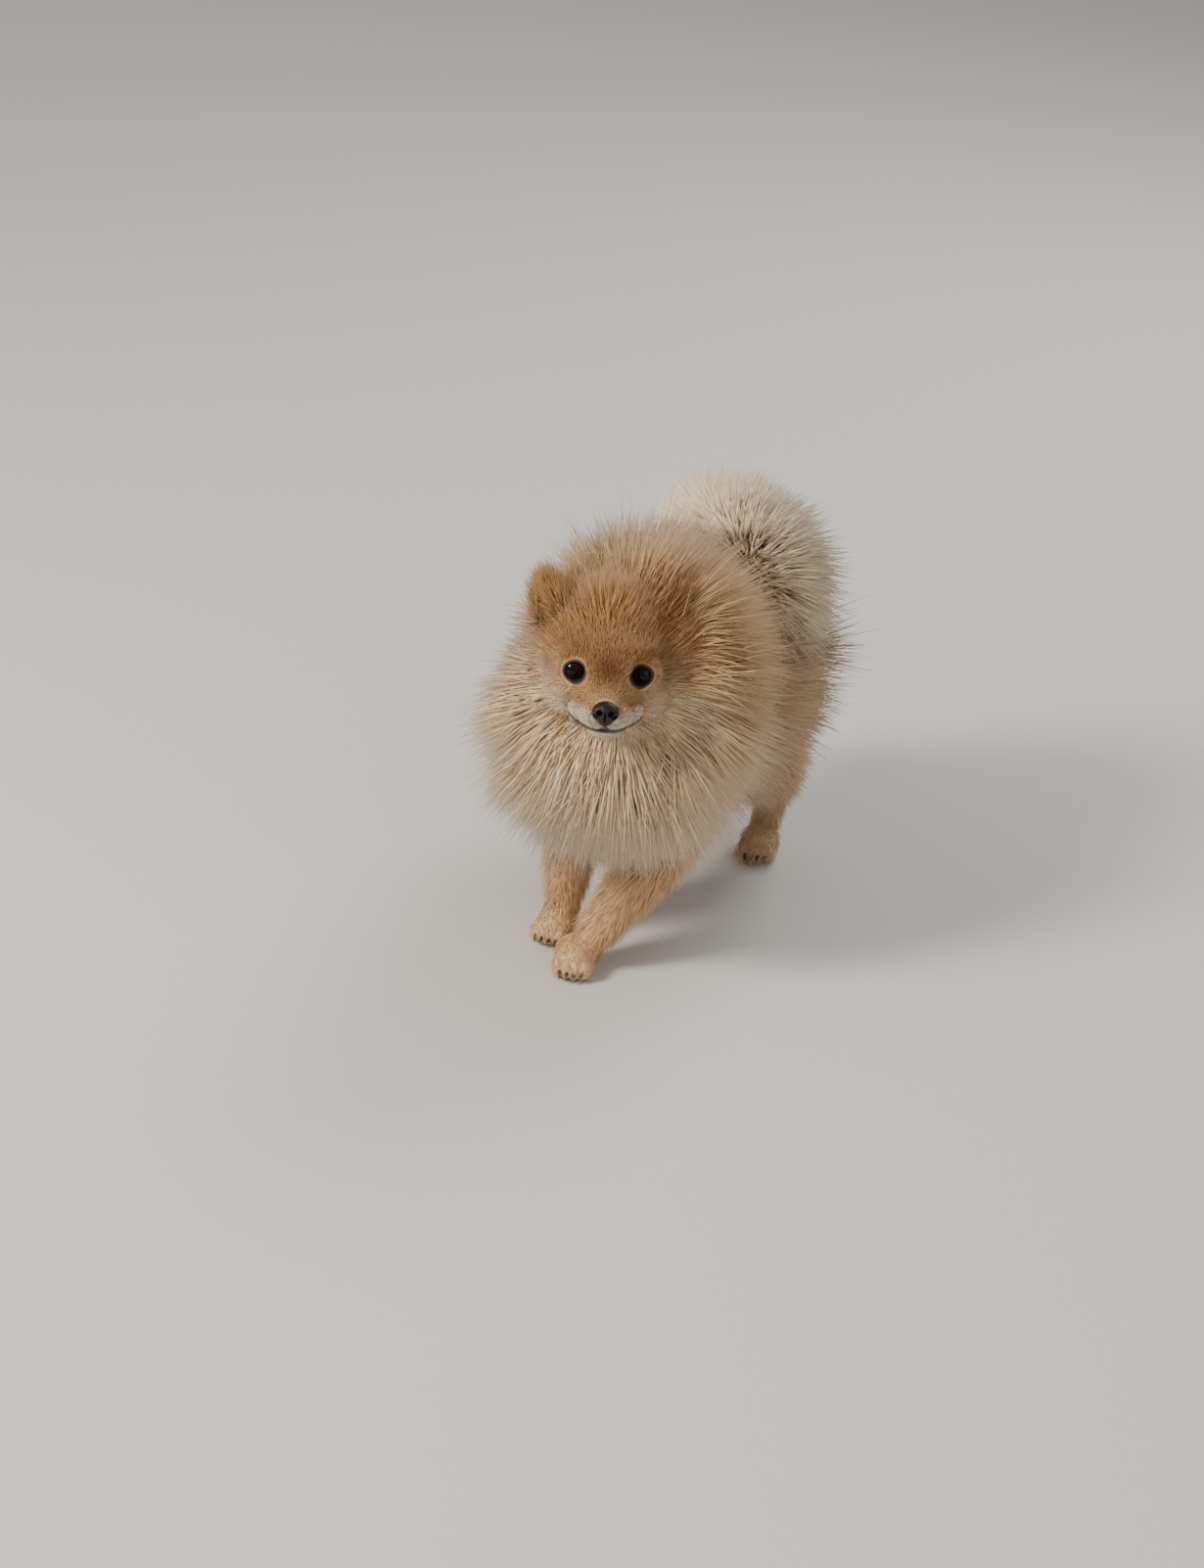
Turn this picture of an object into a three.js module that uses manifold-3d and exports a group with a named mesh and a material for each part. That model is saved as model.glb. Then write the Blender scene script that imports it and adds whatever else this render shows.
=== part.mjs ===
// A pomeranian walking towards the viewer, life size, as a museum model: a small spitz with a round
// stand-off coat, a ruff like a ball round the face, prick ears sunk in fur and a plume over its back.
// Millimetres, +Z up. The dog walks towards -Y and +X is its left. The floor is Z = 0.
import * as THREE from 'three';
import { mergeVertices } from 'three/addons/utils/BufferGeometryUtils.js';
import Module from 'manifold-3d';

const wasm = await Module();
wasm.setup();
const { Manifold, Mesh } = wasm;

// Driving dimensions.
const GAP = 0.3; // between touching pieces
const CORE_SHARE = 0.42; // how far the dense undercoat core reaches from the skin to the tips
const EYE_GAP = 36; // between the eye centres
const EYE_RADIUS = 7.6;
const HEAD_YAW = THREE.MathUtils.degToRad(17); // the face is turned to the dog's left
const HEAD_PITCH = THREE.MathUtils.degToRad(12); // and lifted
const BETWEEN_EYES = new THREE.Vector3(5, -124, 190);

const v3 = (x, y, z) => new THREE.Vector3(x, y, z);
const UP = v3(0, 0, 1);

// A repeatable draw between -1 and 1.
function drawsFrom(seed) {
  let state = seed;
  return () => {
    state = (state * 1664525 + 1013904223) % 4294967296;
    return (state / 4294967296) * 2 - 1;
  };
}

// A closed three.js geometry as a solid.
function solidOf(geometry) {
  const bare = geometry.index ? geometry.toNonIndexed() : geometry.clone();
  bare.deleteAttribute('normal');
  bare.deleteAttribute('uv');
  const merged = mergeVertices(bare, 1e-4);
  return new Manifold(
    new Mesh({
      numProp: 3,
      vertProperties: new Float32Array(merged.attributes.position.array),
      triVerts: new Uint32Array(merged.index.array),
    }),
  );
}

function largest(solid) {
  const bodies = solid.decompose();
  return bodies.reduce((best, body) => (body.volume() > best.volume() ? body : best));
}

// Head coordinates: x to the dog's left, y backwards and z up from the point between the eyes.
const headMatrix = new THREE.Matrix4()
  .makeRotationFromEuler(new THREE.Euler(-HEAD_PITCH, 0, HEAD_YAW, 'ZYX'))
  .setPosition(BETWEEN_EYES);

function ellipsoid(centre, radii, { grow = 0, turn = [0, 0, 0], sides = 14, rings = 10, matrix } = {}) {
  const made = new THREE.SphereGeometry(1, sides, rings);
  made.scale(radii[0] + grow, radii[1] + grow, radii[2] + grow);
  made.applyMatrix4(new THREE.Matrix4().makeRotationFromEuler(new THREE.Euler(...turn)));
  made.translate(...centre);
  if (matrix) made.applyMatrix4(matrix);
  return solidOf(made);
}

// A form is a body part as stations along its length. Each station has its centre, the skin's half width
// and half height, and the coat's depth on the sides, on top and underneath.
class Form {
  constructor(stations, { roundness = 0.6, matrix, reference = UP, coatedEnd = 0 } = {}) {
    const centres = stations.map(({ at }) => {
      const p = v3(...at);
      return matrix ? p.applyMatrix4(matrix) : p;
    });
    this.line = new THREE.CatmullRomCurve3(centres, false, 'centripetal');
    this.sizes = new THREE.CatmullRomCurve3(
      stations.map((s) => v3(s.wide, s.high, 0)),
    );
    this.coats = new THREE.CatmullRomCurve3(
      stations.map(({ coat: [side, top, under] }) => v3(side, top, under)),
    );
    this.roundness = roundness;
    this.reference = reference;
    this.coatedEnd = coatedEnd; // how much of the coat's depth also stands off past the last station
  }

  // The cross-section at t, with its sideways and upward directions.
  section(t) {
    const centre = this.line.getPoint(t);
    const along = this.line.getTangent(t);
    const side = v3().crossVectors(this.reference, along).normalize();
    const up = v3().crossVectors(along, side);
    const size = this.sizes.getPoint(t);
    const coat = this.coats.getPoint(t);
    return { centre, along, side, up, size, coat };
  }

  // A point at t along and angle round, a share of the coat's depth out from the skin.
  point(t, angle, share, grow = 0) {
    const { centre, along, side, up, size, coat } = this.section(t);
    const c = Math.cos(angle);
    const s = Math.sin(angle);
    const depth = THREE.MathUtils.lerp(coat.x, s > 0 ? coat.y : coat.z, s * s);
    const past = this.coatedEnd * share * depth * Math.pow(Math.max(2 * t - 1, 0), 3);
    const ending = Math.pow(Math.max(Math.sin(Math.PI * t), 0), this.roundness);
    const round = (r) => (r + share * depth) * ending + grow * Math.min(1, ending * 4);
    return centre
      .clone()
      .addScaledVector(along, past)
      .addScaledVector(side, c * round(size.x))
      .addScaledVector(up, s * round(size.y));
  }

  normal(t, angle, share) {
    const step = 0.01;
    const a = v3().subVectors(this.point(t + step, angle, share), this.point(t - step, angle, share));
    const b = v3().subVectors(this.point(t, angle + step, share), this.point(t, angle - step, share));
    const out = v3().crossVectors(a, b).normalize();
    const away = this.point(t, angle, share).sub(this.line.getPoint(t));
    return out.dot(away) < 0 ? out.negate() : out;
  }

  coatAt(t, angle) {
    return this.point(t, angle, 1).distanceTo(this.point(t, angle, 0));
  }

  // The closed solid at a share of the coat's depth.
  solid(share, grow = 0, sides = 16, rings = 12) {
    const made = new THREE.SphereGeometry(1, sides, rings);
    const position = made.attributes.position;
    for (let i = 0; i < position.count; i++) {
      const t = THREE.MathUtils.clamp((1 - position.getY(i)) / 2, 0, 1);
      const even = Math.acos(1 - 2 * t) / Math.PI; // rings evenly spaced
      const angle = Math.atan2(position.getZ(i), position.getX(i));
      const pole = even < 1e-4 || even > 1 - 1e-4;
      const p = pole ? this.point(Math.round(even), 0, share) : this.point(even, angle, share, grow);
      p.addScaledVector(this.section(even).along, -grow * Math.cos(Math.PI * even));
      position.setXYZ(i, p.x, p.y, p.z);
    }
    const solid = solidOf(made);
    return solid.volume() < 0 ? solidOf(turnedRound(made)) : solid;
  }
}

function turnedRound(geometry) {
  const index = geometry.index.array;
  for (let i = 0; i < index.length; i += 3) [index[i + 1], index[i + 2]] = [index[i + 2], index[i + 1]];
  return geometry;
}

// One lock of coat: a flat blade with four edges that leaves the skin along `out`, bends over towards
// `flow` and tapers to its tip.
const LOCK_RINGS = 2; // bends along its length
const LOCK_SINK = 5; // how far the root is sunk
const LOCK_FLATNESS = 0.3; // thickness over width
function lock({ root, out, flow, length, width, lean = 0.75, grow = 0 }) {
  const start = root.clone().addScaledVector(out, -LOCK_SINK);
  const middle = root.clone().addScaledVector(out, length * 0.42);
  const end = middle
    .clone()
    .addScaledVector(out, length * 0.58 * (1 - lean))
    .addScaledVector(flow, length * 0.58 * lean);
  const path = new THREE.QuadraticBezierCurve3(start, middle, end);
  const across = v3().crossVectors(flow, out).normalize();
  const made = new THREE.ConeGeometry(1, 1, 4, LOCK_RINGS);
  const position = made.attributes.position;
  for (let i = 0; i < position.count; i++) {
    const t = position.getY(i) + 0.5;
    const turn = Math.atan2(position.getZ(i), position.getX(i));
    const atCone = Math.hypot(position.getX(i), position.getZ(i));
    const rim = atCone > 1e-6 ? 1 : 0;
    const half = (width / 2) * (0.62 + 0.8 * t) * (1 - Math.pow(t, 2.4)) + (t > 0.99 ? 0 : grow);
    const thin = half * LOCK_FLATNESS + (t > 0.99 ? 0 : grow);
    const along = path.getTangent(t);
    const back = v3().crossVectors(along, across).normalize();
    const p = path
      .getPoint(t)
      .addScaledVector(across, rim * half * Math.cos(turn))
      .addScaledVector(back, rim * thin * Math.sin(turn));
    if (t > 0.99) p.addScaledVector(along, grow * 2);
    position.setXYZ(i, p.x, p.y, p.z);
  }
  const solid = solidOf(made);
  return solid.volume() < 0 ? solidOf(turnedRound(made)) : solid;
}

// Locks in rows over a form, staggered from row to row and varied a little as real ones are.
function locksOver(form, settings) {
  const { rows, seed, flow, lean = 0.85, keep = () => true, reach = 1.1, fill = 1.5 } = settings;
  const { share = CORE_SHARE, depth } = settings;
  const draw = drawsFrom(seed);
  const specs = [];
  rows.forEach(([t, count], row) => {
    for (let k = 0; k < count; k++) {
      const angle = ((k + 0.5 * (row % 2) + 0.18 * draw()) / count) * 2 * Math.PI;
      const place = THREE.MathUtils.clamp(t + 0.012 * draw(), 0.03, 0.985);
      const root = form.point(place, angle, share);
      const out = form.normal(place, angle, share);
      const towards = flow(root, out, place, angle);
      towards.addScaledVector(out, -towards.dot(out)).normalize();
      const rise = depth ?? form.coatAt(place, angle) * (1 - share);
      const girth = 2 * Math.PI * root.distanceTo(form.line.getPoint(place));
      const variety = 1 + 0.12 * draw();
      if (!keep(root, place, angle)) continue;
      specs.push({
        root,
        out,
        flow: towards,
        lean,
        length: (rise * reach * variety) / (0.42 + 0.58 * (1 - lean) * 0.8),
        width: (girth / count) * fill,
      });
    }
  });
  return specs;
}

// The body's forms.
const TORSO = new Form(
  [
    { at: [0, -94, 112], wide: 30, high: 36, coat: [36, 32, 30] },
    { at: [0, -60, 124], wide: 42, high: 50, coat: [40, 46, 26] },
    { at: [0, -18, 130], wide: 44, high: 49, coat: [44, 40, 20] },
    { at: [0, 30, 132], wide: 42, high: 42, coat: [50, 30, 24] },
    { at: [0, 74, 130], wide: 44, high: 42, coat: [58, 26, 34] },
    { at: [0, 116, 124], wide: 40, high: 38, coat: [34, 24, 32] },
  ],
  { coatedEnd: 0.75 },
);

const NECK = new Form(
  [
    { at: [0, -30, 128], wide: 36, high: 42, coat: [40, 40, 44] },
    { at: [1, -60, 152], wide: 38, high: 44, coat: [42, 48, 50] },
    { at: [3, -88, 178], wide: 33, high: 36, coat: [44, 52, 50] },
    { at: [6, -115, 196], wide: 26, high: 28, coat: [34, 44, 34] },
  ],
  { reference: v3(0, 1, 1).normalize() },
);

const SKULL = new Form(
  [
    { at: [0, -26, -17], wide: 9, high: 8, coat: [1, 1, 1] },
    { at: [0, -13, -14], wide: 13, high: 11, coat: [2, 2, 2] },
    { at: [0, 0, -6], wide: 21, high: 16, coat: [4, 4, 4] },
    { at: [0, 15, 0], wide: 29, high: 25, coat: [14, 16, 10] },
    { at: [0, 38, 3], wide: 32, high: 29, coat: [28, 34, 22] },
    { at: [0, 64, -2], wide: 28, high: 27, coat: [26, 40, 22] },
  ],
  { matrix: headMatrix, roundness: 0.35 },
);

const TAIL = new Form(
  [
    { at: [0, 84, 152], wide: 11, high: 11, coat: [18, 18, 14] },
    { at: [2, 99, 171], wide: 9, high: 9, coat: [34, 36, 20] },
    { at: [10, 90, 191], wide: 7, high: 7, coat: [44, 36, 22] },
    { at: [24, 65, 198], wide: 6, high: 6, coat: [48, 36, 24] },
    { at: [38, 42, 190], wide: 5, high: 5, coat: [46, 34, 26] },
    { at: [50, 24, 174], wide: 3, high: 3, coat: [38, 32, 24] },
  ],
  { roundness: 0.4, reference: v3(0.3, 0.2, 1).normalize() },
);

// Each leg, from the trunk down to the pastern, and the foot below it. `hock` is where the two are parted.
const LEG_FORWARD = v3(0, -1, 0);
const legForm = (stations) => new Form(stations, { roundness: 0.3, reference: LEG_FORWARD });

const LEGS = {
  foreleg_left: {
    form: legForm([
      { at: [30, -60, 112], wide: 20, high: 26, coat: [8, 8, 8] },
      { at: [29, -60, 80], wide: 17, high: 19, coat: [8, 7, 8] },
      { at: [18, -78, 52], wide: 12, high: 13, coat: [7, 6, 7] },
      { at: [3, -93, 26], wide: 10, high: 10.5, coat: [5, 4, 5] },
      { at: [-6, -101, 4], wide: 10, high: 10, coat: [3, 3, 3] },
    ]),
    paw: [-8, -106, 8.5],
    turn: 0.16,
    parting: 22,
    foot: 'forefoot_left',
  },
  foreleg_right: {
    form: legForm([
      { at: [-30, -58, 112], wide: 20, high: 26, coat: [8, 8, 8] },
      { at: [-33, -48, 80], wide: 16, high: 18, coat: [8, 7, 8] },
      { at: [-32, -54, 52], wide: 11, high: 12, coat: [6, 5, 7] },
      { at: [-31, -62, 26], wide: 9.5, high: 10, coat: [4, 4, 5] },
      { at: [-31, -67, 4], wide: 9.5, high: 9.5, coat: [3, 3, 3] },
    ]),
    paw: [-31, -72, 8.5],
    turn: -0.06,
    parting: 22,
    foot: 'forefoot_right',
  },
  hindleg_left: {
    form: legForm([
      { at: [34, 72, 120], wide: 24, high: 36, coat: [22, 14, 24] },
      { at: [41, 64, 86], wide: 20, high: 28, coat: [16, 10, 16] },
      { at: [45, 84, 56], wide: 13, high: 16, coat: [9, 7, 10] },
      { at: [45, 100, 34], wide: 9, high: 10, coat: [5, 4, 6] },
      { at: [45, 92, 5], wide: 9, high: 9.5, coat: [4, 4, 4] },
    ]),
    paw: [45, 85, 8.5],
    turn: 0.1,
    parting: 40,
    foot: 'hindfoot_left',
  },
  hindleg_right: {
    form: legForm([
      { at: [-34, 66, 120], wide: 24, high: 36, coat: [22, 14, 24] },
      { at: [-41, 44, 86], wide: 20, high: 28, coat: [16, 10, 16] },
      { at: [-42, 54, 56], wide: 13, high: 16, coat: [9, 7, 10] },
      { at: [-40, 64, 34], wide: 9, high: 10, coat: [5, 4, 6] },
      { at: [-39, 55, 5], wide: 9, high: 9.5, coat: [4, 4, 4] },
    ]),
    paw: [-39, 48, 8.5],
    turn: -0.1,
    parting: 40,
    foot: 'hindfoot_right',
  },
};

// The head's own pieces.
const eyeAt = (side) => [(side * EYE_GAP) / 2, 3.6, 0];
const NOSE_AT = [0, -26.5, -16.5];

function eye(side, grow) {
  return ellipsoid(eyeAt(side), [EYE_RADIUS, EYE_RADIUS, EYE_RADIUS], {
    grow,
    matrix: headMatrix,
    sides: 14,
    rings: 9,
  });
}

// The leather of the nose, with a slit nostril cut in each side and the groove below.
function nose(grow) {
  const pad = ellipsoid(NOSE_AT, [7.6, 5.4, 6.2], { grow, matrix: headMatrix, sides: 14, rings: 9 });
  if (grow) return pad;
  const nostrils = [-1, 1].map((side) =>
    ellipsoid([side * 4.2, -31.7, -16.1], [1.7, 2.4, 2.1], {
      matrix: headMatrix,
      turn: [0, 0, side * 0.5],
      sides: 6,
      rings: 5,
    }),
  );
  return pad.subtract(Manifold.union(nostrils));
}

// Skull and muzzle in one form, with brows, cheeks, two lips, chin and the rims of the lids.
function headCore(grow) {
  const at = (centre, radii, more = {}) =>
    ellipsoid(centre, radii, { grow, matrix: headMatrix, sides: 11, rings: 7, ...more });
  const pieces = [SKULL.solid(CORE_SHARE, grow, 16, 12)];
  pieces.push(at([0, -8, -25.5], [10.5, 14, 5.5], { turn: [0.05, 0, 0] })); // jaw
  for (const side of [-1, 1]) {
    pieces.push(at([side * 6, -14.5, -19], [7.6, 11, 6.8], { turn: [0, 0, side * 0.2] })); // flews
    pieces.push(at([side * 15.5, 14, -12], [15, 19, 14])); // cheek
    pieces.push(at([side * 13, 5, 8], [11, 8, 7], { turn: [0, side * -0.3, 0] })); // brow
    pieces.push(at([side * 17.8, 2.6, 0], [9.8, 7.4, 8], { sides: 14 })); // lids
  }
  const core = Manifold.union(pieces);
  if (grow) return core;
  // The line of the mouth runs back from under the nose along both sides.
  const halfMouth = [v3(4.5, -25, -26), v3(9, -20, -26.6), v3(13.5, -11, -25.4), v3(18, -1, -22.4)];
  const mouth = new THREE.CatmullRomCurve3([
    ...halfMouth.map((p) => v3(-p.x, p.y, p.z)).reverse(),
    v3(0, -26.5, -24.6),
    ...halfMouth,
  ]);
  const groove = new Form(
    mouth.getPoints(12).map((p) => ({ at: p.toArray(), wide: 1.8, high: 1.1, coat: [0, 0, 0] })),
    { roundness: 0.2, matrix: headMatrix, reference: v3(0.1, 0.1, 1).normalize() },
  ).solid(0, 0, 6, 18);
  // The opening between the lids, an almond over each eye.
  const openings = [-1, 1].map((side) =>
    ellipsoid([side * 18.4, -6, 0.2], [5.6, 7, 4.7], {
      matrix: headMatrix,
      turn: [0, side * 0.14, side * 0.25],
      sides: 12,
      rings: 8,
    }),
  );
  return largest(core.subtract(Manifold.union([groove, ...openings])));
}

// An ear is a small pointed cup that opens forwards and outwards.
function ear(side, grow) {
  const shell = (radius, height, depth) => {
    const made = new THREE.ConeGeometry(radius, height, 10, 3);
    const position = made.attributes.position;
    for (let i = 0; i < position.count; i++) {
      const rise = position.getY(i) / height + 0.5;
      const swell = 1 + 0.5 * Math.sin(Math.PI * rise) * (1 - rise);
      position.setXYZ(i, position.getX(i) * swell, position.getZ(i) * depth, (rise - 0.2) * height);
    }
    return made;
  };
  const place = new THREE.Matrix4()
    .makeRotationFromEuler(new THREE.Euler(-0.12, side > 0 ? 0.3 : -0.55, side * 0.35, 'ZXY'))
    .setPosition(side * 31, 29, 38);
  const whole = headMatrix.clone().multiply(place);
  const outside = shell(12 + grow, 32 + grow * 2, -0.5).applyMatrix4(whole);
  const hollow = shell(9, 25.5, -0.5).translate(0, -4.2, 2.4).applyMatrix4(whole);
  const solid = positive(outside);
  return grow ? solid : solid.subtract(positive(hollow));
}

function positive(geometry) {
  const solid = solidOf(geometry);
  return solid.volume() < 0 ? solidOf(turnedRound(geometry)) : solid;
}

// A leg with its paw: the pad flat on the floor and four toes with a notch between them.
const PAW = [11.5, 15, 10];
const TOES = 4;
const TOE = [4.4, 7, 6.2];
function wholeLeg(name, grow) {
  const { form, paw, turn } = LEGS[name];
  const pieces = [form.solid(1, grow, 10, 10)];
  pieces.push(ellipsoid(paw, PAW, { grow, turn: [0, 0, turn], sides: 10, rings: 6 }));
  for (let k = 0; k < TOES; k++) {
    const spread = (k - (TOES - 1) / 2) / TOES;
    const reach = v3(spread * 20, -11.5 + 9 * spread * spread, -2.8).applyAxisAngle(UP, turn);
    const at = [paw[0] + reach.x, paw[1] + reach.y, paw[2] + reach.z];
    pieces.push(ellipsoid(at, TOE, { grow, turn: [0, 0, turn - spread * 0.5], sides: 6, rings: 5 }));
  }
  return Manifold.union(pieces).trimByPlane([0, 0, 1], 0);
}
const legCore = (name, grow) => wholeLeg(name, grow).trimByPlane([0, 0, 1], LEGS[name].parting - grow);
const footCore = (name, grow) => wholeLeg(name, grow).trimByPlane([0, 0, -1], -LEGS[name].parting - grow);

// The plume curls too tightly for one tube, so its core is a row of balls that melt into each other.
const TAIL_BALLS = 6;
function tailCore(grow) {
  const balls = Array.from({ length: TAIL_BALLS }, (_, k) => {
    const t = THREE.MathUtils.lerp(0.06, 0.94, k / (TAIL_BALLS - 1));
    const centre = TAIL.line.getPoint(t);
    const radius = (angle) => TAIL.point(t, angle, CORE_SHARE).distanceTo(centre);
    const across = (radius(0) + radius(Math.PI / 2)) / 2;
    return ellipsoid(centre.toArray(), [across, across, across], { grow, sides: 8, rings: 6 });
  });
  return Manifold.union(balls);
}

// Which way the coat lies.
const backwards = v3(0, 1, 0);
const flowBack = (root, out) => backwards.clone().add(v3(0, 0, -0.55));
const flowRuff = (root, out, t, angle) => NECK.section(t).along.clone().negate().add(v3(0, 0, -0.35));
const flowSkull = (root, out, t) => SKULL.section(t).along.clone().add(v3(0, 0, -0.15));
const flowTail = (root, out, t) => TAIL.section(t).along.clone().add(v3(0.1, 0, -0.1));
const flowDown = () => v3(0, 0.35, -1);

// How many locks go round a form, and where they grow.
const ringCount = (form, t, spacing) => {
  const a = form.point(t, 0, CORE_SHARE).distanceTo(form.point(t, Math.PI, CORE_SHARE)) / 2;
  const b = form.point(t, Math.PI / 2, CORE_SHARE).distanceTo(form.point(t, -Math.PI / 2, CORE_SHARE)) / 2;
  return Math.max(5, Math.round((Math.PI * (a + b)) / spacing));
};
const rowsOf = (form, from, to, rows, spacing) =>
  Array.from({ length: rows }, (_, i) => {
    const t = THREE.MathUtils.lerp(from, to, rows > 1 ? i / (rows - 1) : 0);
    return [t, ringCount(form, t, spacing)];
  });

const inHead = (point) => point.clone().applyMatrix4(headMatrix.clone().invert());
const nearLeg = (root) =>
  Object.values(LEGS).some(({ form }) =>
    [0.1, 0.25, 0.4].some((t) => {
      const { centre, size } = form.section(t);
      return root.distanceTo(centre) < size.x + 12 && root.z < 104;
    }),
  );
const insideForm = (form, root, share) => {
  for (let t = 0.05; t < 1; t += 0.05) {
    const { centre, size, coat } = form.section(t);
    const ending = Math.pow(Math.sin(Math.PI * t), form.roundness);
    if (root.distanceTo(centre) < (Math.min(size.x, size.y) + share * coat.x) * ending) return true;
  }
  return false;
};

// The nodes, in the order in which they keep their shape where two would meet.
const NODES = [
  { name: 'eye_left', core: (grow) => eye(1, grow), colour: 0x1c0f0a, roughness: 0.08 },
  { name: 'eye_right', core: (grow) => eye(-1, grow), colour: 0x1c0f0a, roughness: 0.08 },
  { name: 'nose', core: nose, colour: 0x1d1412, roughness: 0.42 },
  {
    name: 'head',
    core: headCore,
    colour: 0xb98148,
    locks: () =>
      locksOver(SKULL, {
        rows: rowsOf(SKULL, 0.56, 0.9, 4, 26),
        seed: 11,
        flow: flowSkull,
        lean: 0.7,
        keep: (root) => inHead(root).z > -26 && (inHead(root).y > 18 || inHead(root).z > 12),
      }),
  },
  { name: 'ear_left', core: (grow) => ear(1, grow), colour: 0x9c6a3a },
  { name: 'ear_right', core: (grow) => ear(-1, grow), colour: 0x9c6a3a },
  {
    name: 'neck',
    core: (grow) => NECK.solid(CORE_SHARE, grow, 16, 10),
    colour: 0xe2cba6,
    locks: () =>
      locksOver(NECK, {
        rows: rowsOf(NECK, 0.16, 0.88, 6, 29),
        seed: 23,
        flow: flowRuff,
        lean: 0.8,
        keep: (root) => !insideForm(SKULL, root, 0.3) && !insideForm(TORSO, root, 0.5),
      }),
  },
  {
    name: 'torso',
    core: (grow) => TORSO.solid(CORE_SHARE, grow, 16, 12),
    colour: 0xc9ab7e,
    locks: () =>
      locksOver(TORSO, {
        rows: rowsOf(TORSO, 0.12, 0.98, 9, 42),
        seed: 37,
        flow: flowBack,
        lean: 0.85,
        keep: (root) => !nearLeg(root) && !insideForm(NECK, root, 0.75),
      }),
  },
  {
    name: 'tail',
    core: tailCore,
    colour: 0xe9dcc0,
    locks: () =>
      locksOver(TAIL, {
        rows: rowsOf(TAIL, 0.24, 0.9, 5, 28),
        seed: 54,
        flow: flowTail,
        lean: 0.7,
        fill: 1.6,
      }),
  },
  ...Object.keys(LEGS).flatMap((name, k) => {
    const hind = name.startsWith('hind');
    const { form, foot } = LEGS[name];
    const colour = hind ? 0xc8a676 : 0xd2a266;
    return [
      {
        name,
        core: (grow) => legCore(name, grow),
        colour,
        // Feathering on the back of the leg.
        locks: () =>
          locksOver(form, {
            rows: hind ? [[0.34, 7], [0.5, 6]] : [[0.45, 6], [0.62, 6]],
            seed: 71 + k,
            flow: flowDown,
            lean: 0.8,
            share: 1,
            depth: hind ? 12 : 6,
            keep: (root, t, angle) => Math.sin(angle) < 0.1,
          }),
      },
      { name: foot, core: (grow) => footCore(name, grow), colour },
    ];
  }),
];

// Cores give way to the earlier cores, and locks to every other core and to the earlier locks.
const near = (a, b) => {
  const one = a.boundingBox();
  const two = b.boundingBox();
  return [0, 1, 2].every((i) => one.min[i] <= two.max[i] && two.min[i] <= one.max[i]);
};
const less = (solid, others) => {
  const close = others.filter((other) => near(solid, other));
  return close.length ? solid.subtract(Manifold.union(close)) : solid;
};

// What is left of a solid that comes too near a finished one is cut back by the gap.
const shifts = [0, 1, 2].flatMap((axis) => [-GAP, GAP].map((d) => [0, 1, 2].map((i) => (i === axis ? d : 0))));
const clearOf = (solid, finished) => {
  if (!near(solid, finished) || solid.minGap(finished, GAP) > GAP / 3) return solid;
  return solid.subtract(Manifold.union([finished, ...shifts.map((shift) => finished.translate(shift))]));
};

const cores = NODES.map(({ core }) => core(0));
const grownCores = NODES.map(({ core }) => core(1.3 * GAP));
const finished = [];
const grownLocks = [];
const group = new THREE.Group();
NODES.forEach(({ name, locks, colour, roughness = 0.85 }, i) => {
  let solid = less(cores[i], grownCores.slice(0, i));
  const specs = locks ? locks() : [];
  if (specs.length) {
    const whole = Manifold.union(specs.map((spec) => lock(spec)));
    const others = grownCores.filter((_, k) => k !== i);
    const cut = less(whole, [...others, ...grownLocks]).trimByPlane([0, 0, 1], 3);
    grownLocks.push(Manifold.union(specs.map((spec) => lock({ ...spec, grow: 2 * GAP }))));
    solid = solid.add(cut);
  }
  solid = finished.reduce(clearOf, largest(solid).simplify(0.06));
  solid = largest(solid);
  finished.push(solid);
  const { vertProperties, triVerts, numProp, numVert } = solid.getMesh();
  const places = new Float32Array(numVert * 3);
  for (let k = 0; k < numVert; k++) places.set(vertProperties.subarray(k * numProp, k * numProp + 3), k * 3);
  const geometry = new THREE.BufferGeometry();
  geometry.setAttribute('position', new THREE.BufferAttribute(places, 3));
  geometry.setIndex(new THREE.BufferAttribute(new Uint32Array(triVerts), 1));
  geometry.computeVertexNormals();
  const material = new THREE.MeshStandardMaterial({ color: colour, roughness, metalness: 0 });
  const mesh = new THREE.Mesh(geometry, material);
  mesh.name = name;
  group.add(mesh);
});

// The origin is on the floor under the middle of the whole model.
const whole = new THREE.Box3().setFromObject(group).getCenter(v3());
group.position.set(-Math.round(whole.x * 10) / 10, -Math.round(whole.y * 10) / 10, 0);

export default group;
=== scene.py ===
# A pomeranian walking towards the viewer, life size: one skin with ears and paws, a coat of solid
# tufts, eyes, nose, whiskers, lashes and claws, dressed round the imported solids. Metres, +Z up.
import math

import bpy
import numpy as np
import openvdb
from mathutils import Matrix, Vector


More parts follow.
